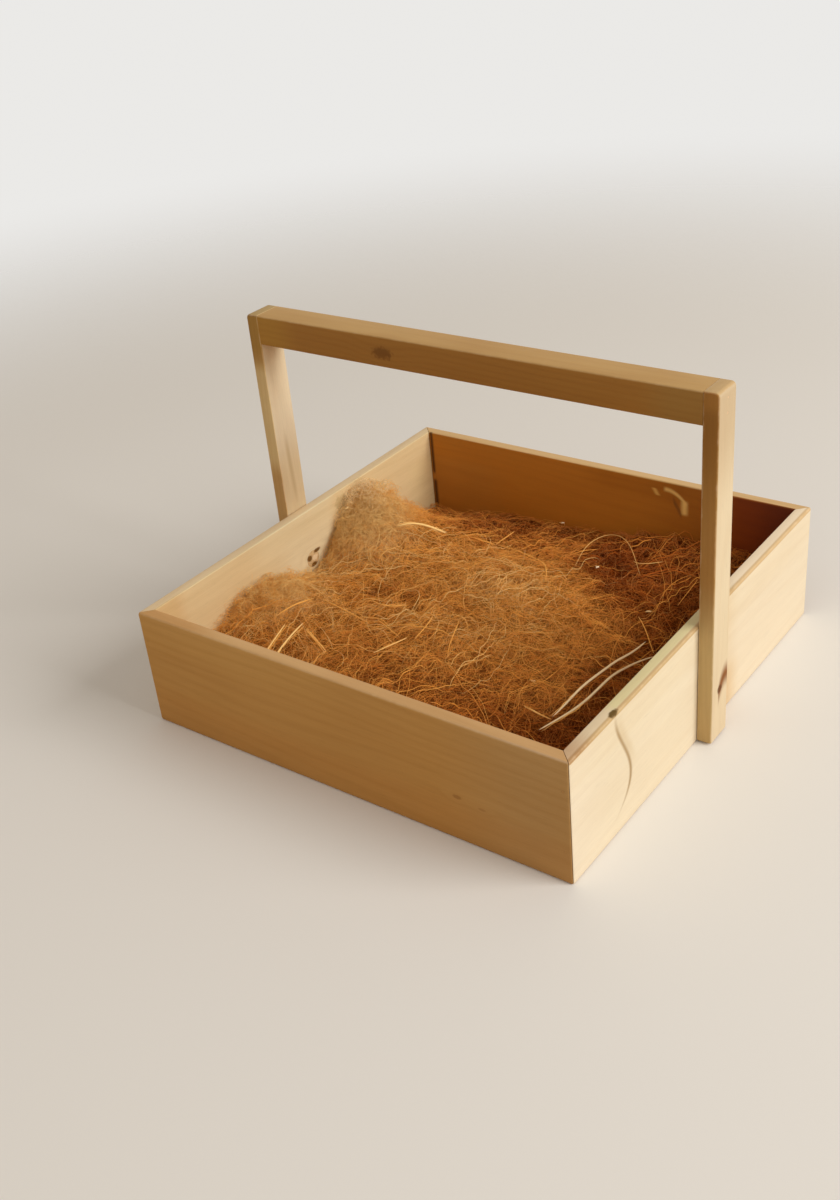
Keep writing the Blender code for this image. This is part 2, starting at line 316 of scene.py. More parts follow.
def makeWood(name, wood):
    material, tree = newMaterial(name)
    place = put(tree, "ShaderNodeTexCoord").outputs["Object"]
    spots = {"Vector": place, "Location": wood["pith"], "Rotation": [math.radians(a) for a in wood["turn"]]}
    grainPlace = put(tree, "ShaderNodeMapping", spots, vector_type="POINT").outputs[0]
    bend = 0.0
    cores = []
    for spot in wood.get("knots", ()):
        took = {"Place": place, "Centre": spot["centre"], "Size": spot["size"], "Ragged": spot["ragged"]}
        made = useGroup(tree, knotGroup, took)
        cores.append((made["Core"], spot))
        bend = reckon(tree, "MULTIPLY_ADD", made["Halo"], spot["push"], bend)
    took = {"Place": grainPlace, "Pale": wood["pale"], "Deep": wood["deep"], "Figure": wood["figure"]}
    took |= {"Spacing": wood["spacing"], "Bend": bend}
    grain = useGroup(tree, pineGrain, took)
    colour = grain["Color"]
    axes = put(tree, "ShaderNodeSeparateXYZ", {"Vector": place}).outputs
    for toneOrShade in wood.get("tintsAndShades", ()):
        share = reckon(tree, "MULTIPLY", within(tree, axes, toneOrShade["limits"]), toneOrShade["strength"])
        tinted = blendColour(tree, 1.0, colour, toneOrShade["colour"], "MULTIPLY")
        colour = blendColour(tree, share, colour, tinted)
    took = {"Place": place, "Centre": wood["centre"], "Half": wood["half"], "Reach": wood["wear"]}
    worn = reckon(tree, "MULTIPLY", useGroup(tree, edgeWear, took)["Mask"], wood["wearStrength"])
    colour = blendColour(tree, worn, colour, wood["wearColour"])
    for line in wood.get("lines", ()):
        took = {"Along": axes[line["along"]], "Across": axes[line["across"]]} | line["shape"]
        mask = useGroup(tree, drawnLine, took)["Mask"]
        mask = reckon(tree, "MULTIPLY", mask, within(tree, axes, line["limits"]))
        colour = blendColour(tree, reckon(tree, "MULTIPLY", mask, line["strength"]), colour, line["colour"])
    for core, spot in cores:
        colour = blendColour(tree, reckon(tree, "MULTIPLY", core, spot["strength"]), colour, spot["colour"])
    return finishMaterial(material, tree, colour, grain["Gloss"], grain["Height"])


# Helpers for meshes

def clearPicks():
    if bpy.context.object and bpy.context.object.mode != "OBJECT":
        bpy.ops.object.mode_set(mode="OBJECT")
    bpy.ops.object.select_all(action="DESELECT")


def workOn(piece):
    clearPicks()
    piece.select_set(True)
    bpy.context.view_layer.objects.active = piece


def edit(piece):
    workOn(piece)
    bpy.ops.object.mode_set(mode="EDIT")
    bpy.ops.mesh.select_mode(type="FACE")
    bpy.ops.mesh.select_all(action="DESELECT")


def pick(piece, kind, wanted):
    bpy.ops.mesh.select_mode(type=kind)
    bpy.ops.mesh.select_all(action="DESELECT")
    shape = bmesh.from_edit_mesh(piece.data)
    for part in shape.edges if kind == "EDGE" else shape.faces:
        if wanted(part):
            part.select_set(True)
    bmesh.update_edit_mesh(piece.data)


def smooth(piece, angle=35.0):
    workOn(piece)
    bpy.ops.object.shade_smooth_by_angle(angle=math.radians(angle))


def leaveEdit(piece, smoothAngle=35.0):
    bpy.ops.mesh.select_all(action="SELECT")
    bpy.ops.mesh.remove_doubles(threshold=0.00001)
    bpy.ops.mesh.normals_make_consistent(inside=False)
    bpy.ops.object.mode_set(mode="OBJECT")
    bpy.ops.object.transform_apply(location=True, rotation=True, scale=True)
    smooth(piece, smoothAngle)


def addBox(name, low, high):
    low, high = Vector(low), Vector(high)
    clearPicks()
    bpy.ops.mesh.primitive_cube_add(size=1.0, location=(low + high) / 2, scale=high - low)
    bpy.context.object.name = name
    bpy.ops.object.transform_apply(location=True, rotation=True, scale=True)
    return bpy.context.object


def near(first, second):
    return abs(first - second) < 1e-5


def isSharp(part):
    # an edge between two faces that turn by more than 57 degrees
    return len(part.link_faces) == 2 and part.link_faces[0].normal.angle(part.link_faces[1].normal) > 1.0


def drill(piece, holes, sides=24):
    # round holes, each given as start, end and radius
    cutters = []
    for start, end, radius in holes:
        start, end = Vector(start), Vector(end)
        run = end - start
        clearPicks()
        bpy.ops.mesh.primitive_cylinder_add(
            vertices=sides, radius=radius, depth=run.length,
            location=(start + end) / 2, rotation=run.to_track_quat("Z", "Y").to_euler(),
        )
        cutters.append(bpy.context.object)
    for cutter in cutters:
        hole = piece.modifiers.new("hole", "BOOLEAN")
        hole.operation = "DIFFERENCE"
        hole.solver = "EXACT"
        hole.object = cutter
        workOn(piece)
        bpy.ops.object.modifier_apply(modifier=hole.name)
    for cutter in cutters:
        bpy.data.objects.remove(cutter, do_unlink=True)


def dress(piece, material, body, replaced=()):
    piece.data.materials.clear()
    piece.data.materials.append(material)
    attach(piece, body)
    if replaced:
        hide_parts(*replaced)


# The four boards, cut from one ring so that the rounded corners run on over the mitres

boards = {
    "side": 0.300,
    "height": 0.079,
    "thick": 0.008,
    "groove": (0.006, 0.0106),
    "grooveDepth": 0.004,
    "cornerRound": 0.0016,
    "rimRound": 0.0011,
    "innerRound": 0.0006,
    "footRound": 0.0005,
    "seam": 0.00016,  # from the middle of a mitre to the wood
    "pinHole": 0.00078,
    "dowelHole": 0.00615,
    "dowelHeight": 0.04275,
    "past": 0.002,  # how far a drill runs on past the wood
}

boardWood = {
    "centre": (0.0, 0.0, 0.0395),
    "half": (0.150, 0.150, 0.0395),
    "wear": 0.0014,
    "wearStrength": 0.4,
}

paleMark = (0.30, 0.13, 0.035)
darkMark = (0.15, 0.058, 0.002)

# faces that marks lie on: the axis, and where a mark starts and is full
frontRim = ("Z", 0.0778, 0.0786)
rightRim = ("Z", 0.0772, 0.0780)
boardRim = ("Z", 0.0780, 0.0788)
insideBack = ("Y", 0.1432, 0.1425)
insideLeft = ("X", -0.1435, -0.1425)
outsideRight = ("X", 0.1485, 0.1495)

frontWood = boardWood | {
    "pith": (0.02, -0.012, 0.196),
    "turn": (90.0, 0.0, 0.8),
    # deeper than the side boards: partly the planks' own tone, partly painted shade on faces turned from
    # the light
    "pale": (0.58, 0.329, 0.103, 1.0),
    "deep": (0.487, 0.255, 0.068, 1.0),
    "figure": 0.45,
    "spacing": 0.0052,
    "wearColour": (0.68, 0.47, 0.24, 1.0),
    "knots": [
        knot((0.0799, -0.150, 0.0300), (0.0034, 0.004, 0.0016), paleMark, 0.55),
        knot((0.0956, -0.150, 0.0277), (0.0030, 0.004, 0.0010), paleMark, 0.35),
    ],
    "tintsAndShades": [
        # painted light and shade: the rim lighter where light falls on top, the lower face darker, and
        # parts of the rim and face lighter, darker or cooler to even out the light
        tintOrShade((1.05, 1.13, 1.64), frontRim),
        tintOrShade((0.92, 0.84, 0.72), frontRim, ("X", -0.080, -0.115)),
        tintOrShade((0.975, 0.92, 0.87), ("Z", 0.034, 0.018)),
        tintOrShade((1.06, 1.09, 1.12), ("Z", 0.050, 0.066), ("X", 0.010, -0.030)),
        tintOrShade((0.90, 0.98, 1.25), ("X", 0.060, 0.130), ("Y", -0.1485, -0.1495)),
    ],
}

backWood = frontWood | {
    "pith": (-0.11, 0.020, -0.193),
    "turn": (90.0, 0.0, -0.6),
    "spacing": 0.0046,
    "knots": [
        knot((-0.060, 0.150, 0.052), (0.0035, 0.004, 0.0028), darkMark, 0.6),
    ],
    "tintsAndShades": [
        # painted shade: the inside, turned from the light, is painted much deeper than the rim and the
        # outside, deepest towards the right, and its low left end lighter
        tintOrShade((0.90, 0.585, 0.158), insideBack, ("Z", 0.0790, 0.0780)),
        tintOrShade((0.42, 0.28, 0.14), insideBack, ("X", 0.020, 0.140)),
        tintOrShade((0.82, 0.50, 0.24), insideBack, ("X", 0.090, 0.105)),
        tintOrShade((0.74, 0.70, 0.50), insideBack, ("X", 0.112, 0.136)),
        tintOrShade((0.98, 1.05, 1.45), insideBack, ("Z", 0.066, 0.056), ("X", -0.070, -0.100)),
        tintOrShade(
            (0.87, 0.83, 0.68), insideBack, ("Z", 0.060, 0.070), ("X", -0.020, 0.010),
            ("X", 0.075, 0.060),
        ),
        # painted light: the rim lighter where light falls on top
        tintOrShade((1.22, 1.45, 2.25), boardRim),
    ],
    "lines": [
        # the open joint in the corner, broken by a chip
        drawn(
            "Z", "X", insideBack, (0.05, 0.018, 0.003), 0.9, Offset=-0.1400, Width=0.0022,
            Start=0.044, Finish=0.0815, Taper=0.004,
        ),
        drawn(
            "Z", "X", insideBack, (0.05, 0.018, 0.003), 0.9, Offset=-0.1398, Width=0.0028,
            Start=0.012, Finish=0.0425, Taper=0.004,
        ),
        # pale scratches at the right of the wall
        drawn(
            "Z", "X", insideBack, (0.80, 0.48, 0.12), 0.8, Offset=0.0875, Slope=-0.60,
            Width=0.0030, Start=0.0675, Finish=0.0735, Taper=0.0012,
        ),
        drawn(
            "X", "Z", insideBack, (0.90, 0.58, 0.18), 0.9, Offset=-0.0290, Slope=3.90,
            Curve=-37.0, Width=0.0026, Start=0.0500, Finish=0.0690, Taper=0.003,
        ),
        drawn(
            "Z", "X", insideBack, (0.90, 0.58, 0.18), 1.0, Offset=0.0662, Width=0.0040,
            Start=0.0560, Finish=0.0690, Taper=0.003,
        ),
        drawn(
            "X", "Z", insideBack, (0.14, 0.055, 0.01), 0.6, Offset=0.1676, Slope=-1.73,
            Width=0.0045, Start=0.0570, Finish=0.0650, Taper=0.002,
        ),
    ],
}

leftWood = boardWood | {
    "pith": (0.05, -0.186, -0.046),
    "turn": (0.0, 0.0, -90.0),
    "pale": (0.76, 0.56, 0.33, 1.0),
    "deep": (0.62, 0.42, 0.22, 1.0),
    "figure": 0.40,
    "spacing": 0.0050,
    "wearColour": (0.80, 0.62, 0.40, 1.0),
    "knots": [
        knot((-0.150, 0.088, 0.031), (0.004, 0.0042, 0.0030), darkMark, 0.6),
        # an olive stain beside the hill, and dark crumbs round the dowel's end
        knot(
            (-0.142, 0.036, 0.069), (0.003, 0.0085, 0.0075), (0.42, 0.29, 0.12), 0.60, push=0.0,
            ragged=0.9,
        ),
        knot((-0.142, 0.0046, 0.0473), (0.003, 0.0042, 0.0017), darkMark, 0.95),
        knot((-0.142, -0.0037, 0.0445), (0.003, 0.0030, 0.0026), darkMark, 0.95),
        knot((-0.142, 0.0001, 0.0387), (0.003, 0.0034, 0.0020), darkMark, 0.95),
        knot((-0.142, 0.0018, 0.0432), (0.003, 0.0036, 0.0026), (0.86, 0.68, 0.44), 0.7),
    ],
    "tintsAndShades": [
        # painted light and shade: the rim a little lighter; on the inside the near end darker, as a painted
        # shadow of the front board, and the middle and the low far end lighter, as painted light
        tintOrShade((1.05, 1.12, 1.20), boardRim),
        tintOrShade((0.97, 1.00, 0.94), insideLeft, ("Y", -0.126, -0.114)),
        tintOrShade((0.90, 0.86, 0.72), insideLeft, ("Y", -0.114, -0.128)),
        tintOrShade((1.05, 1.12, 1.22), insideLeft, ("Y", -0.070, -0.035), ("Y", 0.032, 0.020)),
        tintOrShade(
            (1.07, 1.11, 1.18), insideLeft, ("Y", -0.040, -0.015), ("Y", 0.030, 0.018),
            ("Z", 0.068, 0.060),
        ),
        tintOrShade((1.03, 1.05, 1.02), insideLeft, ("Y", 0.106, 0.124), ("Z", 0.066, 0.056)),
    ],
}

rightWood = leftWood | {
    "pith": (-0.08, 0.186, -0.030),
    "pale": (0.82, 0.745, 0.59, 1.0),
    "deep": (0.74, 0.635, 0.47, 1.0),
    "figure": 0.34,
    "spacing": 0.0056,
    "knots": [
        knot((0.1487, -0.1036, 0.0795), (0.0026, 0.0052, 0.0022), (0.115, 0.060, 0.006), 0.97, ragged=0.9),
    ],
    "tintsAndShades": [
        # a browner strip along the outer edge of the rim, and a green cast on the rim beside the knot
        tintOrShade((0.94, 0.86, 0.75), rightRim),
        tintOrShade((0.97, 0.95, 0.91), outsideRight, ("Z", 0.050, 0.064)),
        # painted shadow of the post, low down behind it
        tintOrShade(
            (0.93, 0.83, 0.70), outsideRight, ("Y", 0.000, 0.010), ("Y", 0.050, 0.026),
            ("Z", 0.038, 0.022),
        ),
        tintOrShade((0.72, 0.60, 0.42), ("Z", 0.0768, 0.0776), ("X", 0.1472, 0.1486), strength=0.90),
        tintOrShade(
            (0.94, 1.05, 0.80), ("Z", 0.0775, 0.0785), ("X", 0.1484, 0.1472), ("Y", -0.106, -0.096),
            ("Y", 0.030, -0.010), strength=0.7,
        ),
        tintOrShade((0.76, 0.64, 0.57), rightRim, ("Y", -0.118, -0.142)),
        tintOrShade((1.14, 1.16, 1.24), rightRim, ("Y", 0.030, 0.050)),
        # the near half is a little paler and the near end lighter, as painted light, and the corner behind
        # the post darker, as a painted shadow of the post
        tintOrShade((1.00, 1.01, 1.00), outsideRight, ("Y", 0.000, -0.030)),
        tintOrShade((0.93, 0.88, 0.80), outsideRight, ("Y", 0.000, 0.010), ("Y", 0.048, 0.020)),
        tintOrShade((1.03, 1.03, 1.06), outsideRight, ("Y", -0.10, -0.15)),
    ],
    "lines": [
        drawn(
            "Z", "Y", ("X", 0.1470, 0.1480), (0.36, 0.24, 0.11), 0.90, Offset=-0.12886, Slope=2.8411,
            Curve=-61.244, Cube=370.52, Width=0.0024, Start=0.008, Finish=0.082, Taper=0.020,
        ),
        drawn(
            "Z", "Y", ("X", 0.1470, 0.1480), (0.58, 0.45, 0.26), 0.40, Offset=-0.12586, Slope=2.8411,
            Curve=-61.244, Cube=370.52, Width=0.0060, Start=0.030, Finish=0.082, Taper=0.022,
        ),
    ],
}


def makeRing():
    half = boards["side"] / 2
    clearPicks()
    bpy.ops.mesh.primitive_plane_add(size=boards["side"])
    ring = bpy.context.object
    ring.name = "boardRing"
    edit(ring)
    bpy.ops.mesh.select_all(action="SELECT")
    bpy.ops.mesh.inset(thickness=boards["thick"], depth=0.0)
    pick(ring, "FACE", lambda face: face.calc_center_median().length < half / 2)
    bpy.ops.mesh.delete(type="FACE")
    bpy.ops.mesh.select_all(action="SELECT")
    bpy.ops.mesh.extrude_region_move(TRANSFORM_OT_translate={"value": (0, 0, boards["height"])})
    bpy.ops.mesh.select_all(action="SELECT")
    bpy.ops.mesh.normals_make_consistent(inside=False)
    for height in boards["groove"]:
        bpy.ops.mesh.select_all(action="SELECT")
        bpy.ops.mesh.bisect(plane_co=(0, 0, height), plane_no=(0, 0, 1))
    low, high = boards["groove"]
    inner = half - boards["thick"]
    pick(
        ring, "FACE",
        lambda face: low < face.calc_center_median().z < high
        and face.calc_center_median().xy.length < inner + 0.001
        and face.normal.xy.dot(face.calc_center_median().xy) < 0,
    )
    inwards = {"value": -boards["grooveDepth"], "use_even_offset": True}
    bpy.ops.mesh.extrude_region_shrink_fatten(TRANSFORM_OT_shrink_fatten=inwards)

    def corner(part):
        return all(near(abs(v.co.x), half) and near(abs(v.co.y), half) for v in part.verts)

    pick(ring, "EDGE", corner)
    bpy.ops.mesh.bevel(offset=boards["cornerRound"], segments=4, affect="EDGES")

    def rim(side, up):
        # the top or bottom edges, outside for side 1 and inside for side -1
        height = boards["height"] if up > 0 else 0.0

        def wanted(part):
            if len(part.link_faces) != 2 or not all(near(v.co.z, height) for v in part.verts):
                return False
            middle = (part.verts[0].co + part.verts[1].co) / 2
            upright, level = sorted((face.normal for face in part.link_faces), key=lambda n: abs(n.z))
            return abs(level.z) > 0.9 and abs(upright.z) < 0.1 and side * upright.xy.dot(middle.xy) > 0
        return wanted

    for side, up, size in ((1, 1, "rimRound"), (-1, 1, "innerRound"), (1, -1, "footRound")):
        pick(ring, "EDGE", rim(side, up))
        bpy.ops.mesh.bevel(offset=boards[size], segments=3, affect="EDGES")
    leaveEdit(ring)
    return ring


def cutBoard(ring, name, quarter):
    # keeps the quarter of the ring towards -Y, turned by quarter turns
    workOn(ring)
    bpy.ops.object.duplicate()
    board = bpy.context.object
    board.name = name
    board.data.name = name
    turn = quarter * math.pi / 2
    cosine, sine = math.cos(turn), math.sin(turn)
    for side in (-1, 1):
        away = Vector((side, 1.0, 0.0)).normalized()
        away = Vector((away.x * cosine - away.y * sine, away.x * sine + away.y * cosine, 0))
        edit(board)
        bpy.ops.mesh.select_all(action="SELECT")
        bpy.ops.mesh.bisect(
            plane_co=-boards["seam"] * away, plane_no=away, use_fill=True, clear_outer=True
        )
        leaveEdit(board)
    return board


def makeBoards():
    ring = makeRing()
    half = boards["side"] / 2
    inner = half - boards["thick"]
    pinX = half - boards["thick"] / 2
    past = boards["past"]
    plan = {
        "front": (0, frontWood, "front_board"),
        "right": (1, rightWood, "right_board"),
        "back": (2, backWood, "back_board"),
        "left": (3, leftWood, "left_board"),
    }
    for side, (quarter, wood, node) in plan.items():
        board = cutBoard(ring, side + "BoardDressed", quarter)
        holes = []
        if side in ("front", "back"):
            outwards = -1 if side == "front" else 1
            for pinSide, hand in ((-1, "left"), (1, "right")):
                for level in ("low", "high"):
                    low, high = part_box(f"{side}_{hand}_pin_{level}")
                    height = (low.z + high.z) / 2
                    start = (pinSide * pinX, outwards * (half + past), height)
                    end = (pinSide * pinX, outwards * (inner - past), height)
                    holes.append((start, end, boards["pinHole"]))
        else:
            outwards = -1 if side == "left" else 1
            start = (outwards * (inner - past), 0, boards["dowelHeight"])
            end = (outwards * (half + past), 0, boards["dowelHeight"])
            holes.append((start, end, boards["dowelHole"]))
        drill(board, holes)
        smooth(board)
        dress(board, makeWood(side + "BoardPine", wood), "basket", (node,))
    bpy.data.objects.remove(ring, do_unlink=True)


# Handle: two posts and the bar between them

handle = {
    "round": 0.0012,
    "innerRound": 0.0003,
    "outerCorner": 0.0026,
    "steps": 4,
    "barEnd": 0.15020,
    "dowelDepth": 0.0065,
}

postFront = ("Y", -0.0090, -0.0098)
postOutside = ("X", 0.1585, 0.1590)
postInside = ("X", -0.1510, -0.1505)
postTop = ("Z", 0.2165, 0.2175)
upperPost = ("Z", 0.145, 0.200)
belowTop = ("Z", 0.2178, 0.2168)

postWood = {
    "pith": (-0.05, 0.004, 0.035),
    "turn": (0.0, 90.0, 0.0),
    "pale": (0.77, 0.65, 0.46, 1.0),
    "deep": (0.66, 0.51, 0.33, 1.0),
    "figure": 0.38,
    "spacing": 0.0034,
    "wear": 0.0011,
    "wearStrength": 0.35,
    "wearColour": (0.80, 0.62, 0.42, 1.0),
}

rightPostWood = postWood | {
    "centre": (0.1548, 0.0, 0.1095),
    "half": (0.0045, 0.010, 0.1085),
    "knots": [
        knot((0.1593, -0.0006, 0.0346), (0.004, 0.0034, 0.0034), (0.13, 0.045, 0.010), 0.9, push=0.0),
    ],
    "lines": [
        drawn(
            "Y", "Z", postOutside, (0.24, 0.085, 0.018), 1.0, Offset=0.03500, Slope=1.790,
            Curve=-128.8, Width=0.0105, Start=-0.0026, Finish=0.0115, Taper=0.0014,
        ),
        # painted shade: a faint darker line along the back edge of the outer face
        drawn(
            "Z", "Y", postOutside, (0.60, 0.40, 0.20), 0.35, Offset=0.0075, Slope=0.01,
            Width=0.0007, Start=0.040, Finish=0.150, Taper=0.04,
        ),
    ],
    "tintsAndShades": [
        # painted shade: the front face, turned from the light, darker and darker still upwards, and the
        # upper post darker; a strip at the top of the front lighter and the top face deeper
        tintOrShade((0.75, 0.67, 0.46), postFront),
        tintOrShade((0.80, 0.58, 0.36), postFront, ("Z", 0.062, 0.115)),
        tintOrShade((0.86, 0.80, 0.55), postFront, ("Z", 0.13, 0.20)),
        tintOrShade((1.24, 1.26, 1.40), postFront, ("Z", 0.205, 0.212)),
        tintOrShade((0.80, 0.74, 0.68), upperPost),
        tintOrShade((0.99, 1.02, 1.03), postOutside),
        tintOrShade((0.92, 0.82, 0.62), postTop),
    ],
}

leftPostWood = postWood | {
    "pith": (0.09, -0.006, -0.034),
    "centre": (-0.1548, 0.0, 0.1095),
    "half": (0.0045, 0.010, 0.1085),
    "lines": [
        drawn(
            "Z", "Y", postInside, (0.46, 0.32, 0.16), 0.55, Offset=0.0052, Slope=-0.045,
            Width=0.0030, Start=0.076, Finish=0.142, Taper=0.022,
        ),
    ],
    "tintsAndShades": [
        # painted light and shade: the front face darker, deepest just under the bar, with its middle
        # lighter again; the inner face lighter from z 0.12 up, painted over the bar's shadow, and darker
        # below; the upper post and the top darker
        tintOrShade((0.82, 0.635, 0.375), postFront),
        tintOrShade((0.74, 0.68, 0.40), postFront, ("Z", 0.178, 0.198)),
        tintOrShade((0.90, 0.85, 0.74), postInside, ("Z", 0.140, 0.105)),
        tintOrShade((1.38, 1.45, 1.50), postInside, ("Z", 0.120, 0.185)),
        tintOrShade((1.27, 1.53, 1.90), postFront, ("Z", 0.106, 0.122), ("Z", 0.190, 0.178)),
        tintOrShade((0.88, 0.84, 0.80), upperPost),
        tintOrShade((0.70, 0.61, 0.39), postTop),
    ],
}

barWood = {
    "pith": (0.03, 0.002, 0.186),
    "turn": (0.0, 0.0, 0.0),
    # far deeper than the posts' wood: painted shade for the faces turned from the light
    "pale": (0.395, 0.189, 0.037, 1.0),
    "deep": (0.327, 0.140, 0.024, 1.0),
    "figure": 0.50,
    "spacing": 0.0042,
    "centre": (0.0, 0.0, 0.2085),
    "half": (0.1700, 0.010, 0.0095),
    "wear": 0.0011,
    "wearStrength": 0.30,
    "wearColour": (0.66, 0.47, 0.26, 1.0),
    "knots": [
        knot((-0.0535, -0.0100, 0.2080), (0.0085, 0.004, 0.0046), (0.12, 0.038, 0.001), 0.62, ragged=1.0),
    ],
    "tintsAndShades": [
        # painted light: the top lighter where light falls on it, and the faces below it lighter near the
        # ends
        tintOrShade((1.38, 1.82, 3.70), ("Z", 0.2168, 0.2178)),
        tintOrShade((1.14, 1.26, 1.15), belowTop, ("X", -0.115, -0.140)),
        tintOrShade((0.95, 1.08, 1.35), belowTop, ("X", 0.110, 0.135)),
    ],
}


def makePost(side):
    sign = -1 if side == "left" else 1
    low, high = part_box(side + "_post")
    post = addBox(side + "PostDressed", low, high)
    outer = high.x if sign > 0 else low.x
    edit(post)
    pick(post, "EDGE", lambda part: all(near(v.co.x, outer) and near(v.co.z, high.z) for v in part.verts))
    bpy.ops.mesh.bevel(offset=handle["outerCorner"], segments=5, affect="EDGES")
    inner = low.x if sign > 0 else high.x
    faces = {
        "round": lambda part: not all(near(v.co.x, inner) for v in part.verts),
        "innerRound": lambda part: all(near(v.co.x, inner) for v in part.verts),
    }
    for size, wanted in faces.items():
        pick(post, "EDGE", lambda part: isSharp(part) and wanted(part))
        bpy.ops.mesh.bevel(
            offset=handle[size], segments=handle["steps"], affect="EDGES", clamp_overlap=True
        )
    leaveEdit(post)
    boardFace, past = sign * boards["side"] / 2, sign * boards["past"]
    start = (boardFace - past, 0, boards["dowelHeight"])
    end = (boardFace + sign * handle["dowelDepth"], 0, boards["dowelHeight"])
    holes = [(start, end, boards["dowelHole"])]
    for level in ("low", "high"):
        pinLow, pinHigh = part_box(f"{side}_bar_pin_{level}")
        height = (pinLow.z + pinHigh.z) / 2
        holes.append(((outer + past, 0, height), (boardFace - past, 0, height), boards["pinHole"]))
    drill(post, holes)
    smooth(post)
    wood = leftPostWood if side == "left" else rightPostWood
    dress(post, makeWood(side + "PostPine", wood), "basket", (side + "_post",))


def makeBar():
    low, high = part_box("handle_bar")
    bar = addBox("handleBarDressed", (-handle["barEnd"], low.y, low.z), (handle["barEnd"], high.y, high.z))
    edit(bar)
    pick(bar, "EDGE", lambda part: abs(part.verts[0].co.x - part.verts[1].co.x) > 0.1)
    bpy.ops.mesh.bevel(offset=handle["round"], segments=handle["steps"], affect="EDGES")
    leaveEdit(bar)
    dress(bar, makeWood("barPine", barWood), "basket", ("handle_bar",))


# Bottom panel, dowels and pins

panel = {"round": 0.0006}
dowels = {"sides": 40, "rim": 0.0007, "crown": 0.00025}

panelWood = {
    "pith": (0.02, 0.030, 0.090),
    "turn": (0.0, 0.0, 1.5),
    "pale": (0.66, 0.48, 0.28, 1.0),
    "deep": (0.48, 0.32, 0.17, 1.0),
    "figure": 0.8,
    "spacing": 0.0060,
    "centre": (0.0, 0.0, 0.0083),
    "half": (0.1457, 0.1457, 0.002),
    "wear": 0.001,
    "wearStrength": 0.2,
    "wearColour": (0.50, 0.34, 0.18, 1.0),
}

dowelWood = {
    "pith": (0.0, 0.004, -0.040),
    "turn": (0.0, 0.0, 0.0),
    "pale": (0.72, 0.52, 0.28, 1.0),
    "deep": (0.50, 0.31, 0.13, 1.0),
    "figure": 0.7,
    "spacing": 0.0018,
    "centre": (0.0, 0.0, 0.0427),
    "half": (0.142, 0.006, 0.006),
    "wear": 0.0006,
    "wearStrength": 0.3,
    "wearColour": (0.52, 0.34, 0.16, 1.0),
    "knots": leftWood["knots"][2:],
}


def makePanel():
    low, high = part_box("bottom_panel")
    made = addBox("bottomPanelDressed", low, high)
    edit(made)
    bpy.ops.mesh.select_all(action="SELECT")
    bpy.ops.mesh.bevel(offset=panel["round"], segments=2, affect="EDGES")
    leaveEdit(made)
    dress(made, makeWood("panelPine", panelWood), "basket", ("bottom_panel",))


def makeDowels():
    wood = makeWood("dowelWood", dowelWood)
    for side, sign in (("left", -1), ("right", 1)):
        low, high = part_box(side + "_dowel")
        clearPicks()
        bpy.ops.mesh.primitive_cylinder_add(
            vertices=dowels["sides"], radius=(high.z - low.z) / 2, depth=high.x - low.x,
            location=(low + high) / 2, rotation=(0, math.radians(90), 0),
        )
        dowel = bpy.context.object
        dowel.name = side + "DowelDressed"
        edit(dowel)
        # the two ends, in the cylinder's own axes
        pick(dowel, "FACE", lambda face: abs(face.normal.z) > 0.9)
        bpy.ops.mesh.inset(thickness=dowels["rim"], depth=0.0)
        bpy.ops.transform.translate(value=(-sign * dowels["crown"], 0, 0))
        leaveEdit(dowel, 50.0)
        dress(dowel, wood, "basket", (side + "_dowel",))


pinFinish = {
    "steel": ((0.42, 0.38, 0.33, 1.0), (0.20, 0.13, 0.08, 1.0)),
    "filler": ((0.52, 0.30, 0.11, 1.0), (0.74, 0.54, 0.35, 1.0)),  # in the boards, and in the posts
    # where the filler starts, out from the middle
    "boardPlug": (0.1488, 0.1492),
    "postPlug": (0.1581, 0.1585),
    "metal": 0.9,
}


def makePinFinish():
    # steel, with a plug of filler over the end that was driven below the wood
    material, tree = newMaterial("filledPinSteel")
    place = put(tree, "ShaderNodeTexCoord").outputs["Object"]
    away = put(tree, "ShaderNodeSeparateXYZ", {0: vectorReckon(tree, "ABSOLUTE", place)}).outputs
    inPost = fade(tree, away["X"], *pinFinish["postPlug"])
    filled = reckon(tree, "MAXIMUM", fade(tree, away["Y"], *pinFinish["boardPlug"]), inPost)
    tarnish = speckle(tree, place, (900.0, 900.0, 900.0), 3.0)[0]
    steel = blendColour(tree, fade(tree, tarnish, 0.35, 0.75), *pinFinish["steel"])
    filler = blendColour(tree, inPost, *pinFinish["filler"])
    colour = blendColour(tree, filled, steel, filler)
    metal = fade(tree, filled, 0.0, 1.0, pinFinish["metal"], 0.0)
    tree.links.new(metal, tree.nodes["Principled BSDF"].inputs["Metallic"])
    rough = reckon(tree, "MULTIPLY_ADD", filled, 0.35, reckon(tree, "MULTIPLY_ADD", tarnish, 0.3, 0.25))
    return finishMaterial(material, tree, colour, rough)


def dressPins():
    steel = makePinFinish()
    for name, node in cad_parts.items():
        if "_pin" in name:
            node.data.materials.clear()
            node.data.materials.append(steel)


# Bed of fibre: the form and the tones of the heap

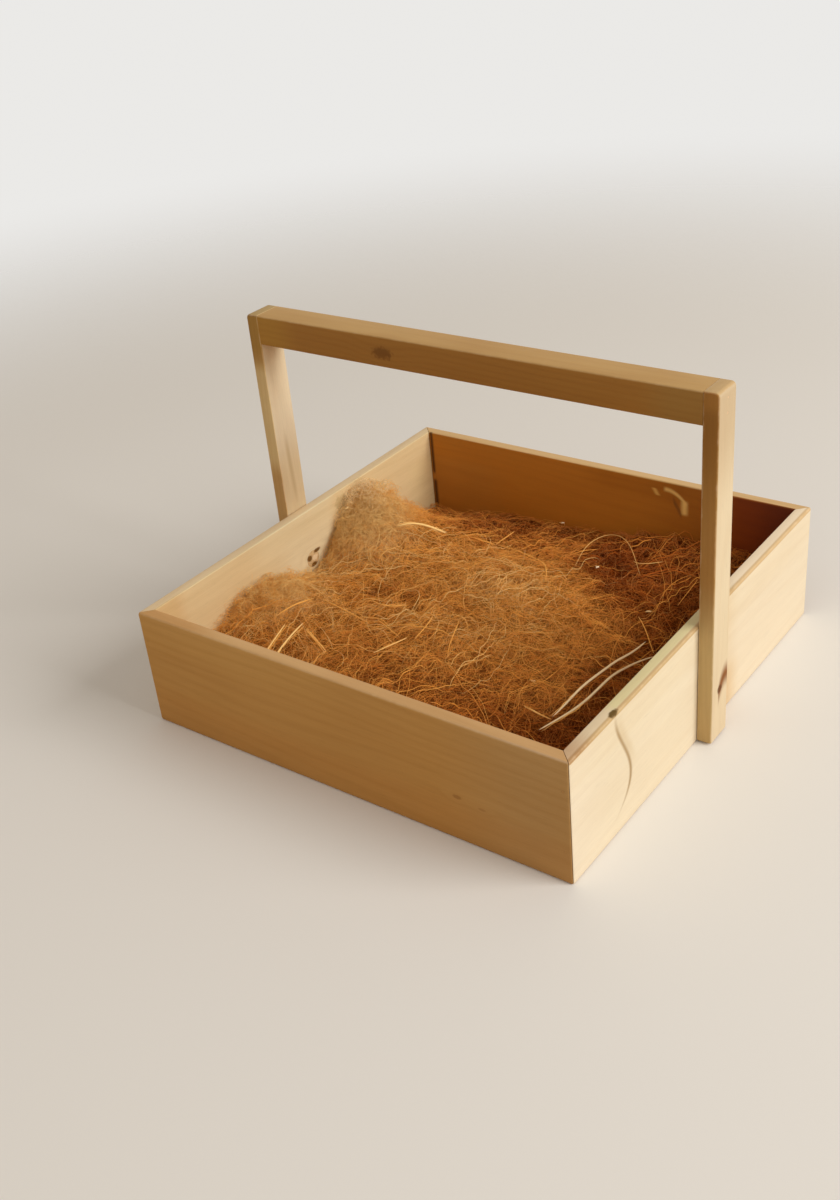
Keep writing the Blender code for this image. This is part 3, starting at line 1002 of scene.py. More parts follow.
heap = {
    "half": 0.1412,
    "floor": 0.0106,
    "depth": 0.028,
    "hill": 0.026,
    # each hill's place, height and spread, in the part's own shares
    "hills": (
        (-0.94, 0.38, 1.00, 0.20),
        (-0.88, -0.42, 0.50, 0.20),
        (-1.02, -0.03, -0.42, 0.13),
        (-1.00, -0.92, -0.30, 0.20),
        (-0.35, 0.05, 0.18, 0.30),
        (0.30, 0.10, 0.20, 0.34),
        (0.50, 0.95, 0.10, 0.22),
        (-0.10, -0.80, 0.16, 0.32),
        (-0.95, 1.02, -0.80, 0.24),
        (-0.25, 1.02, -0.42, 0.30),
        (1.00, -1.00, -0.50, 0.34),
        (1.00, 0.10, -0.24, 0.22),
    ),
    # how much higher the thin clouds of loose fibre reach
    "plumes": ((-0.96, 0.36, 0.62, 0.14), (-0.97, -0.45, 0.38, 0.20)),
    "lump": 0.0026,
    "gap": 0.0028,
    "reach": 0.1410,  # how far from the middle a strand may come to a wall
    "seed": 20,
}

heapTones = {
    "plain": 0.63,
    "walls": 0.36,  # how much deeper the fibre is by the right and back walls: partly its own tone, partly painted shade of the walls
    "front": 0.25,
    # paler and deeper places: how much, then the middle and the spread in x and y; the last pale place is
    # painted light on the shaded left flank of the hill
    "pale": (
        (0.26, -0.124, 0.050, 0.022, 0.032), (0.19, -0.124, -0.066, 0.022, 0.036),
        (0.08, -0.010, 0.015, 0.050, 0.040), (0.08, -0.136, 0.026, 0.012, 0.014),
    ),
    "deep": (
        (0.22, 0.040, 0.092, 0.020, 0.017), (0.10, 0.050, -0.078, 0.036, 0.024),
        (0.06, 0.060, 0.0, 0.020, 0.060), (0.28, -0.073, -0.016, 0.014, 0.009),
        (0.24, -0.048, -0.006, 0.011, 0.007),
    ),
    "palest": 0.92,
    "paleFrom": 0.060,  # above this height the hill's strands may be paler still, as painted light on the tops
}


def clumpGaps(x, y):
    bent = x + 0.004 * np.sin(170 * y), y + 0.004 * np.sin(150 * x + 1.0)
    return np.sin(330 * bent[0] + 110 * bent[1] + 0.4) * np.sin(360 * bent[1] - 90 * bent[0] + 2.2) - 0.15


def clumps(x, y):
    # -1 to 1, lumps some 15 to 30 mm across
    bent = x + 0.006 * np.sin(90 * y + 0.5), y + 0.006 * np.sin(80 * x + 1.9)
    lumps = 0.55 * np.sin(205 * bent[0] + 60 * bent[1]) * np.sin(230 * bent[1] - 75 * bent[0] + 1.1)
    fine = np.sin(390 * bent[0] - 170 * bent[1] + 2.0) * np.sin(360 * bent[1] + 210 * bent[0])
    return lumps + 0.45 * fine


def hillsAt(x, y, hills):
    height = 0.0 * x
    for hillX, hillY, tall, spread in hills:
        away = (x / heap["half"] - hillX) ** 2 + (y / heap["half"] - hillY) ** 2
        height = height + heap["hill"] * tall * np.exp(-away / (2 * spread**2))
    return height


def heapTop(x, y):
    top = heap["floor"] + heap["depth"] + heap["lump"] * clumps(x, y)
    return top - heap["gap"] * np.maximum(clumpGaps(x, y), 0) + hillsAt(x, y, heap["hills"])


def bump(x, y, middleX, middleY, spreadX, spreadY):
    return np.exp(-(((x - middleX) / spreadX) ** 2 + ((y - middleY) / spreadY) ** 2) / 2)


def slope(value, width):
    return 1 / (1 + np.exp(-value / width))


def heapTone(x, y):
    # 0 is deep red brown, 1 is pale straw
    # by the right and back walls and in the back left corner the fibre is deeper: partly its own tone,
    # partly painted shade
    edge = 0.090 + 0.003 * np.sin(95 * y + 1.0) + 0.003 * np.sin(240 * y) - 0.075 * slope(y - 0.048, 0.011)
    right = slope(x - edge, 0.007)
    edge = 0.091 + 0.005 * np.sin(55 * x) + 0.004 * np.sin(170 * x + 2.0)
    back = slope(y - edge, 0.006)
    corner = bump(x, y, -0.082, 0.112, 0.020, 0.026)
    dark = heapTones["walls"] * (1 - (1 - right) * (1 - 0.82 * back) * (1 - 0.8 * corner))
    front = slope(-y - 0.070 - 0.008 * np.sin(40 * x), 0.010) * (0.50 + 0.50 * slope(x + 0.010, 0.020))
    dark = dark + heapTones["front"] * front * (1 - right)
    dark = dark + sum(much * bump(x, y, *spot) for much, *spot in heapTones["deep"])
    pale = sum(much * bump(x, y, *spot) for much, *spot in heapTones["pale"])
    patches = 0.04 * np.sin(67 * x + 2.1) * np.sin(71 * y - 0.7) + 0.05 * clumps(x, y)
    # painted shade: deeper in the gaps between the clumps
    patches -= 0.20 * np.maximum(clumpGaps(x, y), 0) ** 2
    return np.clip(heapTones["plain"] + pale - dark + patches * (1 - dark), 0.03, 1)


def changed(base, change):
    # deep strands change less than pale ones
    return base + (0.3 + base) * change


# Helpers for strands: how they lie, how thick they are and how they are made

def perStrand(random, low, high, count):
    return random.uniform(low, high, count)[:, None]


def fromRoot(steps):
    return np.linspace(0, 1, steps)[None]


def thickness(random, kind, count):
    return kind["radius"] * np.exp(random.normal(0, kind["vary"], count))


def wander(random, x, y, heading, length, kind):
    # walks over the heap, as (strand, step, x and y); curl is the turn per metre
    count, steps, reach = len(x), kind["steps"], heap["reach"]
    stride = length / (steps - 1)
    turn = random.normal(0, kind["curl"], count)
    path = np.zeros((count, steps, 2))
    for index in range(steps):
        path[:, index, 0] = x
        path[:, index, 1] = y
        turn = turn * 0.92 + random.normal(0, kind["curl"] * 0.35, count)
        heading = heading + turn * stride + random.normal(0, kind["jitter"], count)
        nextX = x + np.cos(heading) * stride
        nextY = y + np.sin(heading) * stride
        heading = np.where(np.abs(nextX) > reach, np.pi - heading, heading)
        heading = np.where(np.abs(nextY) > reach, -heading, heading)
        x = np.clip(nextX, -reach, reach)
        y = np.clip(nextY, -reach, reach)
    return path


def stroll(random, x, y, kind):
    heading = random.uniform(0, math.tau, len(x))
    return wander(random, x, y, heading, random.uniform(*kind["length"], len(x)), kind)


def lay(path, lift):
    top = heapTop(path[..., 0], path[..., 1])
    return np.concatenate([path, (top + lift)[..., None]], axis=2)


def keepInside(points):
    points[..., :2] = np.clip(points[..., :2], -heap["reach"], heap["reach"])
    points[..., 2] = np.maximum(points[..., 2], heap["floor"] + 0.001)
    return points


def scatter(random, count, margin=0.0):
    # an even but irregular spread over the heap
    side = math.ceil(math.sqrt(count))
    grid = (np.arange(side) + 0.5) / side * 2 - 1
    x, y = [rows.ravel() for rows in np.meshgrid(grid, grid)]
    x = x + random.uniform(-1, 1, len(x)) / side
    y = y + random.uniform(-1, 1, len(y)) / side
    chosen = random.permutation(len(x))[:count]
    reach = heap["reach"] - margin
    return x[chosen] * reach, y[chosen] * reach


def onHills(random, hill, lump, spots, plain):
    # moves some strands to the hill by the left wall and some to the lower lump beside it
    onHill, onLump = [random.normal(*spot, len(plain)) for spot in spots]
    return np.where(hill, onHill, np.where(lump, onLump, plain))


def makeSection(sides):
    clearPicks()
    bpy.ops.mesh.primitive_circle_add(vertices=sides, radius=1.0)
    bpy.ops.object.convert(target="CURVE")
    section = bpy.context.object
    section.name = "strandSection"
    return section


def growStrands(name, section, points, radii, tones, taper=0.35):
    # points is (strand, step, xyz), and radii and tones have one value a strand
    count, steps, _ = points.shape
    along = np.linspace(0, 1, steps)
    swell = 1 - (1 - taper) * np.abs(2 * along - 1) ** 3
    swell[[0, -1]] *= 0.1
    curve = bpy.data.curves.new(name, "CURVE")
    curve.dimensions = "3D"
    curve.bevel_mode = "OBJECT"
    curve.bevel_object = section
    flat = np.ones((count, steps, 4), np.float32)
    flat[..., :3] = points
    for index in range(count):
        spline = curve.splines.new("POLY")
        spline.points.add(steps - 1)
        spline.points.foreach_set("co", flat[index].ravel())
        spline.points.foreach_set("radius", (radii[index] * swell).astype(np.float32))
    strands = bpy.data.objects.new(name, curve)
    bpy.context.scene.collection.objects.link(strands)
    workOn(strands)
    bpy.ops.object.convert(target="MESH")
    strands = bpy.context.object
    strands.name = name
    mesh = strands.data
    mesh.name = name
    ring = len(mesh.vertices) // (count * steps)
    tone = np.repeat(np.clip(tones, 0, 1), steps * ring).astype(np.float32)
    rootward = np.tile(np.repeat(along, ring), count).astype(np.float32)
    mesh.attributes.new("tone", "FLOAT", "POINT").data.foreach_set("value", tone)
    mesh.attributes.new("along", "FLOAT", "POINT").data.foreach_set("value", rootward)
    mesh.polygons.foreach_set("use_smooth", np.ones(len(mesh.polygons), bool))
    for layer in list(mesh.uv_layers):
        mesh.uv_layers.remove(layer)
    corner = np.zeros(len(mesh.loops), np.int32)
    mesh.loops.foreach_get("vertex_index", corner)
    around = np.tile(np.arange(ring), count * steps)
    spot = np.zeros((len(mesh.loops), 2), np.float32)
    # tone across and length up, so that all strands share one small map
    spot[:, 0] = 0.02 + 0.94 * tone[corner] + 0.006 * around[corner]
    spot[:, 1] = 0.02 + 0.96 * rootward[corner]
    mesh.uv_layers.new(name="OFBake").data.foreach_set("uv", spot.ravel())
    print(name, count, "strands,", len(mesh.polygons), "faces,", ring, "sides")
    return strands


def growInParts(name, section, points, radii, tones, finish, mostFaces=190000):
    count, steps, _ = points.shape
    parts = max(1, math.ceil(count * ((steps - 1) * 6 + 2) / mostFaces))
    order = np.argsort(points[:, 0, 0], kind="stable")  # each piece is one strip of the heap
    for index, chosen in enumerate(np.array_split(order, parts)):
        strands = growStrands(f"{name}{index + 1}", section, points[chosen], radii[chosen], tones[chosen])
        dress(strands, finish, "bedding")


# Finishes of the strands and of the core under them

coir = {
    "tones": (
        (0.00, (0.26, 0.036, 0.004, 1.0)),
        (0.25, (0.55, 0.135, 0.018, 1.0)),
        (0.50, (0.91, 0.370, 0.064, 1.0)),
        (0.75, (0.98, 0.490, 0.110, 1.0)),
        (0.92, (0.99, 0.680, 0.270, 1.0)),
        (1.00, (1.00, 0.860, 0.620, 1.0)),
    ),
    "tip": (0.85, 0.62, 0.36, 1.0),
    "tipStrength": 0.25,
    "sheen": 0.7,
    "sheenTint": (1.0, 0.58, 0.20, 1.0),
    # the core's colours at tones 0.15, 0.75 and 0.90, on its strands and, deeper as painted shade, between
    # them
    "coreLight": ((0.22, 0.045, 0.005, 1.0), (0.68, 0.300, 0.062, 1.0), (0.97, 0.66, 0.300, 1.0)),
    "coreDeep": ((0.09, 0.016, 0.002, 1.0), (0.38, 0.135, 0.024, 1.0), (0.90, 0.50, 0.170, 1.0)),
    # layers of drawn strands in the core: turn in degrees and scale
    "coreLayers": (
        (25.0, (90.0, 900.0, 300.0)),
        (110.0, (90.0, 900.0, 300.0)),
        (68.0, (70.0, 700.0, 300.0)),
    ),
}


def makeFibreFinish():
    material, tree = newMaterial("coirStrand")
    tone = put(tree, "ShaderNodeAttribute", attribute_name="tone").outputs["Fac"]
    along = put(tree, "ShaderNodeAttribute", attribute_name="along").outputs["Fac"]
    ramp = put(tree, "ShaderNodeValToRGB", {"Fac": tone})
    while len(ramp.color_ramp.elements) < len(coir["tones"]):
        ramp.color_ramp.elements.new(0.5)
    for element, (spot, colour) in zip(ramp.color_ramp.elements, coir["tones"]):
        element.position = spot
        element.color = colour
    tip = reckon(tree, "ABSOLUTE", reckon(tree, "MULTIPLY_ADD", along, 2.0, -1.0))
    tip = reckon(tree, "MULTIPLY", fade(tree, tip, 0.75, 1.0), coir["tipStrength"])
    colour = blendColour(tree, tip, ramp.outputs["Color"], coir["tip"])
    shader = tree.nodes["Principled BSDF"]
    shader.inputs["Sheen Weight"].default_value = coir["sheen"]
    shader.inputs["Sheen Roughness"].default_value = 0.5
    shader.inputs["Sheen Tint"].default_value = coir["sheenTint"]
    return finishMaterial(material, tree, colour, 0.8, specular=0.0)


def makeCoreFinish():
    material, tree = newMaterial("coirCore")
    place = put(tree, "ShaderNodeTexCoord").outputs["Object"]
    tone = put(tree, "ShaderNodeAttribute", attribute_name="tone").outputs["Fac"]
    share = None
    for turn, scale in coir["coreLayers"]:
        spots = {"Vector": place, "Rotation": (0, 0, math.radians(turn))}
        turned = put(tree, "ShaderNodeMapping", spots).outputs[0]
        strand = fade(tree, speckle(tree, turned, scale, 3.0, 0.6)[0], 0.46, 0.70)
        share = strand if share is None else reckon(tree, "MAXIMUM", share, strand)
    colours = []
    for low, middle, high in (coir["coreDeep"], coir["coreLight"]):
        colour = blendColour(tree, fade(tree, tone, 0.15, 0.75), low, middle)
        colours.append(blendColour(tree, fade(tree, tone, 0.65, 0.90), colour, high))
    # painted shade: the core is deeper between its drawn strands
    colour = blendColour(tree, share, *colours)
    return finishMaterial(material, tree, colour, 0.9, share, bump=0.8, depth=0.002, specular=0.0)


# Core, so that nothing shows through between the strands

core = {"sink": 0.0032, "steps": 150, "play": 0.0004}


def makeCore(finish):
    half = heap["half"] - core["play"]
    steps = core["steps"]
    clearPicks()
    bpy.ops.mesh.primitive_grid_add(
        x_subdivisions=steps, y_subdivisions=steps, size=2 * half, location=(0, 0, heap["floor"])
    )
    made = bpy.context.object
    made.name = "beddingCore"
    edit(made)
    bpy.ops.mesh.select_all(action="SELECT")
    bpy.ops.mesh.extrude_region_move(TRANSFORM_OT_translate={"value": (0, 0, 0.01)})
    leaveEdit(made, 60.0)
    mesh = made.data
    spots = np.zeros(len(mesh.vertices) * 3, np.float32)
    mesh.vertices.foreach_get("co", spots)
    spots = spots.reshape(-1, 3)
    raised = spots[:, 2] > heap["floor"] + 0.005
    x, y = spots[raised, 0].astype(float), spots[raised, 1].astype(float)
    lumps = 0.0007 * np.sin(210 * x + 90 * y) * np.sin(170 * y - 60 * x)
    lumps += 0.0006 * np.sin(390 * x - 250 * y + 1.3) * np.sin(340 * y + 200 * x)
    spots[raised, 2] = heapTop(x, y) - core["sink"] + lumps
    mesh.vertices.foreach_set("co", spots.ravel())
    mesh.update()
    tone = heapTone(spots[:, 0].astype(float), spots[:, 1].astype(float)).astype(np.float32)
    mesh.attributes.new("tone", "FLOAT", "POINT").data.foreach_set("value", tone)
    dress(made, finish, "bedding", ("bedding",))


# Mat: the plain lower layer

mat = {
    "count": 3200, "steps": 7, "length": (0.02, 0.05), "curl": 30.0, "jitter": 0.15,
    "radius": 0.00012, "vary": 0.25,
}


def makeMat(random, section, finish):
    count = mat["count"]
    x, y = random.uniform(-1, 1, (2, count)) * heap["reach"]
    path = stroll(random, x, y, mat)
    lift = random.normal(-0.0018, 0.0010, count)[:, None]
    lift = lift + 0.0008 * random.normal(0, 1, (count, mat["steps"]))
    points = keepInside(lay(path, lift))
    base = heapTone(points[:, 3, 0], points[:, 3, 1])
    tones = changed(base, random.normal(0, 0.06, count)) - 0.06
    growInParts("fibreMat", section, points, thickness(random, mat, count), tones, finish)


# Tufts and clouds: loose balls of curled fibre, dense ones in the heap and thin pale ones off it

tufts = {
    "count": 460,
    "strands": 30,
    "steps": 9,
    "size": (0.0055, 0.0125),
    "sink": (0.45, 0.95),  # share of the size
    # along the left wall, so that the heap's edge there is uneven: place and height in millimetres
    "wall": (
        (-92, 40), (-84, 47), (-77, 53), (-68, 57), (-58, 58), (-48, 56), (-38, 52), (-28, 49), (-18, 43),
        (-9, 39), (10, 40), (15, 43), (20, 46), (25, 49), (29, 54), (32, 61), (35, 68), (39, 74), (45, 77),
        (52, 77), (59, 77), (66, 74), (73, 71), (80, 66), (87, 57), (94, 48),
    ),
    "wallX": (-0.138, -0.133),
    "wallSize": (0.0040, 0.0062),
    # the tufts along the wall are paler: partly painted light on the shaded flank of the hill
    "wallShade": (0.06, 0.22),
    "wallLift": 0.0030,
    "paleShare": 0.20,
    "toneVary": 0.025,
    "radius": 0.000092,
    "vary": 0.30,
}

clouds = {
    "count": 700,
    "strands": 15,
    "steps": 9,
    "size": (0.0040, 0.0075),
    # how they are shared out: up to this on the hill, the lump and the middle, and past it on the flank
    "shares": (0.24, 0.38, 0.72, 0.95),
    # middle and spread on the hill, and on the lump
    "hillX": ((-0.128, 0.012), (-0.128, 0.014)),
    "hillY": ((0.053, 0.017), (-0.062, 0.020)),
    "paleShare": 0.25,
    "toneVary": 0.04,
    "radius": 0.000065,
    "vary": 0.25,
}


def makeBalls(random, x, y, size, sink, shade, kind):
    # gives the strands' points, and each strand's own place and shade
    x, y, size, sink, shade = [np.repeat(row, kind["strands"]) for row in (x, y, size, sink, shade)]
    count = len(x)
    axis = random.normal(0, 1, (count, 3))
    axis /= np.linalg.norm(axis, axis=1, keepdims=True)
    across = np.cross(axis, random.normal(0, 1, (count, 3)))
    across /= np.linalg.norm(across, axis=1, keepdims=True)
    third = np.cross(axis, across)
    along = fromRoot(kind["steps"])
    angle = perStrand(random, 0, math.tau, count) + perStrand(random, 0.9, 3.4, count) * along
    slant = perStrand(random, -0.8, 0.8, count) + perStrand(random, -0.7, 0.7, count) * along
    shell = size * random.uniform(0.50, 1.20, count)
    shell = shell[:, None] * (1 + perStrand(random, -0.35, 0.35, count) * along)
    angle, slant = angle[..., None], slant[..., None]
    points = np.cos(slant) * (np.cos(angle) * across[:, None] + np.sin(angle) * third[:, None])
    points = (points + np.sin(slant) * axis[:, None]) * shell[..., None]
    points[..., 2] *= 0.75
    points += 0.0003 * random.normal(0, 1, points.shape)
    points[..., 0] += x[:, None]
    points[..., 1] += y[:, None]
    points[..., 2] += (heapTop(x, y) - sink)[:, None]
    return keepInside(points), x, y, shade


def growBalls(name, random, section, points, base, shade, more, kind, finish):
    # a share of the strands is pale, and the others are a little deeper for it
    count = len(points)
    pale = np.where(random.uniform(0, 1, count) < kind["paleShare"], 0.20, -0.04)
    tones = changed(base, shade + pale + random.normal(0, kind["toneVary"], count)) + more
    radii = thickness(random, kind, count)
    # painted light: above paleFrom the cap on the tone rises, so the tops of the hill may be paler
    palest = heapTones["palest"] + 2.5 * np.clip(points[:, 4, 2] - heapTones["paleFrom"], 0, 0.018)
    growInParts(name, section, points, radii, np.minimum(tones, palest), finish)


def makeTufts(random, section, finish):
    count = tufts["count"]
    x, y = scatter(random, count, 0.002)
    size = random.uniform(*tufts["size"], count)
    sink = random.uniform(*tufts["sink"], count) * size
    shade = random.normal(0, 0.10, count)
    wallY, wallZ = np.array(tufts["wall"]).T / 1000
    wallX = random.uniform(*tufts["wallX"], len(wallY))
    wallSize = random.uniform(*tufts["wallSize"], len(wallY))
    x, y, size = [np.concatenate(both) for both in ((x, wallX), (y, wallY), (size, wallSize))]
    sink = np.concatenate([sink, heapTop(wallX, wallY) - wallZ + tufts["wallLift"]])
    shade = np.concatenate([shade, random.uniform(*tufts["wallShade"], len(wallY))])
    points, x, y, shade = makeBalls(random, x, y, size, sink, shade, tufts)
    middle = points[:, 4, 2]
    shade = shade + 18 * np.clip(middle - heapTop(x, y), -0.009, 0.003)  # painted shade: deeper between the tufts
    # painted light: tufts higher up are paler
    more = 7 * np.clip(middle - 0.055, 0, 0.024)
    growBalls("fibreTufts", random, section, points, heapTone(x, y), shade, more, tufts, finish)


def makeClouds(random, section, finish):
    count = clouds["count"]
    where = random.uniform(0, 1, count)
    x, y = scatter(random, count, 0.004)
    first, second, third, last = clouds["shares"]
    hill, lump = where < first, (where >= first) & (where < second)
    middle, flank = (where >= second) & (where < third), where > last
    x = onHills(random, hill, lump, clouds["hillX"], x)
    y = onHills(random, hill, lump, clouds["hillY"], y)
    byWall, between = random.normal(-0.134, 0.004, count), random.uniform(-0.070, 0.085, count)
    x = np.clip(np.where(flank, byWall, np.where(middle, between, x)), -0.138, 0.138)
    byWall, between = random.normal(0.021, 0.005, count), random.uniform(-0.080, 0.075, count)
    y = np.clip(np.where(flank, byWall, np.where(middle, between, y)), -0.138, 0.138)
    size = random.uniform(*clouds["size"], count) * np.where(flank, 0.0036 / 0.0055, 1)
    raised = hillsAt(x, y, heap["plumes"]) * random.uniform(0, 1, count) ** 1.2
    raised = np.where(flank, random.uniform(0, 0.005, count), raised)
    sink = random.uniform(0.0, 0.5, count) * size - np.where(hill | lump | flank, raised, 0)
    # painted light: clouds raised higher are paler
    shade = random.normal(0.02, 0.04, count) + 6 * raised
    points, x, y, shade = makeBalls(random, x, y, size, sink, shade, clouds)
    growBalls("fibreClouds", random, section, points, heapTone(x, y), shade, 0.0, clouds, finish)


# Wisps: strands that run side by side and part

wisps = {
    "count": 210,
    "strands": 8,
    "steps": 10,
    "length": (0.020, 0.060),
    "curl": 45.0,
    "jitter": 0.12,
    "spread": 0.0026,
    "arch": (0.0, 0.0045),
    "radius": 0.000095,
    "vary": 0.30,
}


def makeWisps(random, section, finish):
    x, y = scatter(random, wisps["count"])
    steps, each = wisps["steps"], wisps["strands"]
    lengths = random.uniform(*wisps["length"], len(x))
    guides = wander(random, x, y, random.uniform(0, math.tau, len(x)), lengths, wisps)
    along = fromRoot(steps)
    points = np.repeat(guides, each, axis=0)
    count = len(points)
    direction = np.gradient(points, axis=1)
    direction /= np.linalg.norm(direction, axis=2, keepdims=True) + 1e-9
    sideways = np.stack([-direction[..., 1], direction[..., 0]], axis=2)
    spread = random.normal(0, wisps["spread"], count)[:, None]
    opening = 0.4 + perStrand(random, 0.4, 2.4, count) * np.abs(along - perStrand(random, 0, 1, count))
    wave = 0.0015 * np.sin(along * perStrand(random, 3, 11, count) + perStrand(random, 0, math.tau, count))
    points = points + sideways * (spread * opening + wave)[..., None]
    arch = np.repeat(random.uniform(*wisps["arch"], len(x)), each)[:, None] * np.sin(math.pi * along)
    base = np.repeat(random.normal(-0.0010, 0.0012, len(x)), each)[:, None]
    ripple = along * perStrand(random, 4, 14, count) + perStrand(random, 0, math.tau, count)
    lift = base + arch + 0.0010 * np.sin(ripple) + random.normal(0, 0.0008, count)[:, None]
    points = keepInside(lay(points, lift))
    middle = points[:, steps // 2]
    base = heapTone(middle[:, 0], middle[:, 1])
    change = np.repeat(random.normal(0.03, 0.05, len(x)), each)
    tones = changed(base, change + random.normal(0, 0.04, count))
    tones += 0.20 * slope(-middle[:, 0] - 0.010, 0.020) * (random.uniform(0, 1, count) < 0.6)
    radii = thickness(random, wisps, count)
    growInParts("fibreWisps", section, points, radii, np.minimum(tones, heapTones["palest"]), finish)


# Fuzz: fine ends that stand off the heap, most of them on the two hills by the left wall

fuzz = {
    "count": 7500,
    "steps": 6,
    "length": (0.008, 0.022),
    "curl": 70.0,
    "jitter": 0.30,
    # how it is shared out: up to this on the hill and the lump, and past it along the wall
    "shares": (0.30, 0.44, 0.93),
    "hillX": ((-0.122, 0.014), (-0.124, 0.014)),
    "hillY": ((0.054, 0.020), (-0.060, 0.020)),
    "rise": 0.0026,
    "wallRise": 0.0050,
    "radius": 0.000070,
    "vary": 0.25,
}


def makeFuzz(random, section, finish):
    count = fuzz["count"]
    where = random.uniform(0, 1, count)
    x, y = random.uniform(-1, 1, (2, count)) * heap["reach"]
    first, second, last = fuzz["shares"]
    hill, lump, wall = where < first, (where >= first) & (where < second), where > last
    x = onHills(random, hill, lump, fuzz["hillX"], x)
    y = onHills(random, hill, lump, fuzz["hillY"], y)
    x = np.where(wall, random.uniform(-0.140, -0.136, count), np.clip(x, -0.140, 0.140))
    y = np.where(wall, random.uniform(-0.100, 0.080, count), np.clip(y, -0.140, 0.140))
    path = stroll(random, x, y, fuzz)
    along = fromRoot(fuzz["steps"])
    rise = np.abs(random.normal(0, 1, count)) * np.where(wall, fuzz["wallRise"], fuzz["rise"])
    rise = rise + 0.6 * hillsAt(x, y, heap["plumes"]) * random.uniform(0, 1, count)
    shape = np.where(perStrand(random, 0, 1, count) < 0.5, along**1.3, np.sin(math.pi * along) * 0.8)
    points = keepInside(lay(path, -0.0015 + rise[:, None] * shape))
    base = heapTone(points[:, 3, 0], points[:, 3, 1])
    tones = changed(base, random.normal(0.06, 0.05, count))
    radii = thickness(random, fuzz, count)
    growInParts("fibreFuzz", section, points, radii, np.minimum(tones, heapTones["palest"]), finish)


# Curls: part rings that lie at a tilt

curls = {"count": 900, "steps": 14, "size": (0.003, 0.011), "radius": 0.00010, "vary": 0.25}


def makeCurls(random, section, finish):
    count = curls["count"]
    along = fromRoot(curls["steps"])
    x, y = random.uniform(-1, 1, (2, count)) * 0.130
    size = perStrand(random, *curls["size"], count)
    start = perStrand(random, 0, math.tau, count)
    angle = start + perStrand(random, 0.7, 1.9, count) * math.pi * along
    size = size * (1 + perStrand(random, -0.35, 0.35, count) * along)
    tilt = perStrand(random, 0.1, 1.0, count)
    lean = perStrand(random, 0, math.tau, count)
    flatX, flatY = size * np.cos(angle), size * np.sin(angle)
    ringX = x[:, None] + flatX * np.cos(lean) - flatY * np.sin(lean) * np.cos(tilt)
    ringY = y[:, None] + flatX * np.sin(lean) + flatY * np.cos(lean) * np.cos(tilt)
    points = keepInside(lay(np.stack([ringX, ringY], axis=2), 0.0))
    top = heapTop(x, y)[:, None]
    points[..., 2] = top + 0.25 * (points[..., 2] - top) - 0.0005 + flatY * np.sin(tilt)
    points = keepInside(points)
    tones = changed(heapTone(x, y), random.normal(0.07, 0.07, count))
    radii = thickness(random, curls, count)
    growInParts("fibreCurls", section, points, radii, np.minimum(tones, heapTones["palest"]), finish)


# Sides: strands pressed flat against the walls, seen when the bedding is lifted out

sides = {"steps": 7, "length": (0.012, 0.040), "radius": 0.00012, "vary": 0.25}
allSides = {"name": "fibreSides", "count": 1500, "walls": (0, 4), "toneShare": 0.55, "toneStart": 0.12}
# more of them at the left wall, where the hills make the side tall
leftSide = {"name": "fibreLeftSide", "count": 1700, "walls": (1, 2), "toneShare": 0.70, "toneStart": 0.04}


def makeSides(random, section, finish, kind):
    # the walls are 0 front, 1 left, 2 back and 3 right
    count, steps, reach = kind["count"], sides["steps"], heap["reach"] + 0.0003
    side = random.integers(*kind["walls"], count)
    along = perStrand(random, -0.138, 0.138, count)
    share = perStrand(random, 0, 1, count)
    heading = random.normal(0, 0.5, count) + math.pi * random.integers(0, 2, count)
    stride = random.uniform(*sides["length"], count) / (steps - 1)
    turn = random.normal(0, 35.0, count) * stride
    stride = stride[:, None]
    angle = heading[:, None] + turn[:, None] * (np.arange(steps) - steps / 2)
    angle = angle + random.normal(0, 0.12, (count, steps))
    moved = np.clip(along + np.cumsum(np.cos(angle), axis=1) * stride, -reach, reach)
    # a little unevenness, so that no two points of a strand fall together
    moved = moved + random.uniform(-0.0002, 0.0, (count, steps)) * np.sign(moved)
    depth = (reach - random.uniform(0, 0.0004, (count, 1))) * np.where(side < 2, -1, 1)[:, None]
    across = side[:, None] % 2 == 0
    x, y = np.where(across, moved, depth), np.where(across, depth, moved)
    top = heapTop(x, y) - 0.0015
    low = heap["floor"] + 0.0004
    height = low + share * (top - low) + np.cumsum(np.sin(angle), axis=1) * stride
    height = np.clip(height, low, top) + random.uniform(0, 0.0004, (count, steps))
    points = np.stack([x, y, height], axis=2)
    base = kind["toneShare"] * heapTone(x[:, 3], y[:, 3]) + kind["toneStart"]
    tones = base + random.normal(0, 0.10, count)
    growInParts(kind["name"], section, points, thickness(random, sides, count), tones, finish)


# Threads, straws and coarse brown pieces, which lie over the rest

# the pale net over the nearer left of the heap
threads = {
    "count": 190, "steps": 16, "length": (0.020, 0.065), "curl": 34.0, "jitter": 0.07,
    "radius": 0.00016, "vary": 0.25,
}
straws = {
    "count": 60, "steps": 22, "length": (0.045, 0.13), "curl": 13.0, "jitter": 0.03,
    "radius": 0.00019, "vary": 0.28,
}
# along the right and back walls
darkStraws = {
    "count": 170, "steps": 9, "length": (0.010, 0.034), "curl": 40.0, "jitter": 0.05,
    "radius": 0.00022, "vary": 0.30, "atRight": 0.65,
}


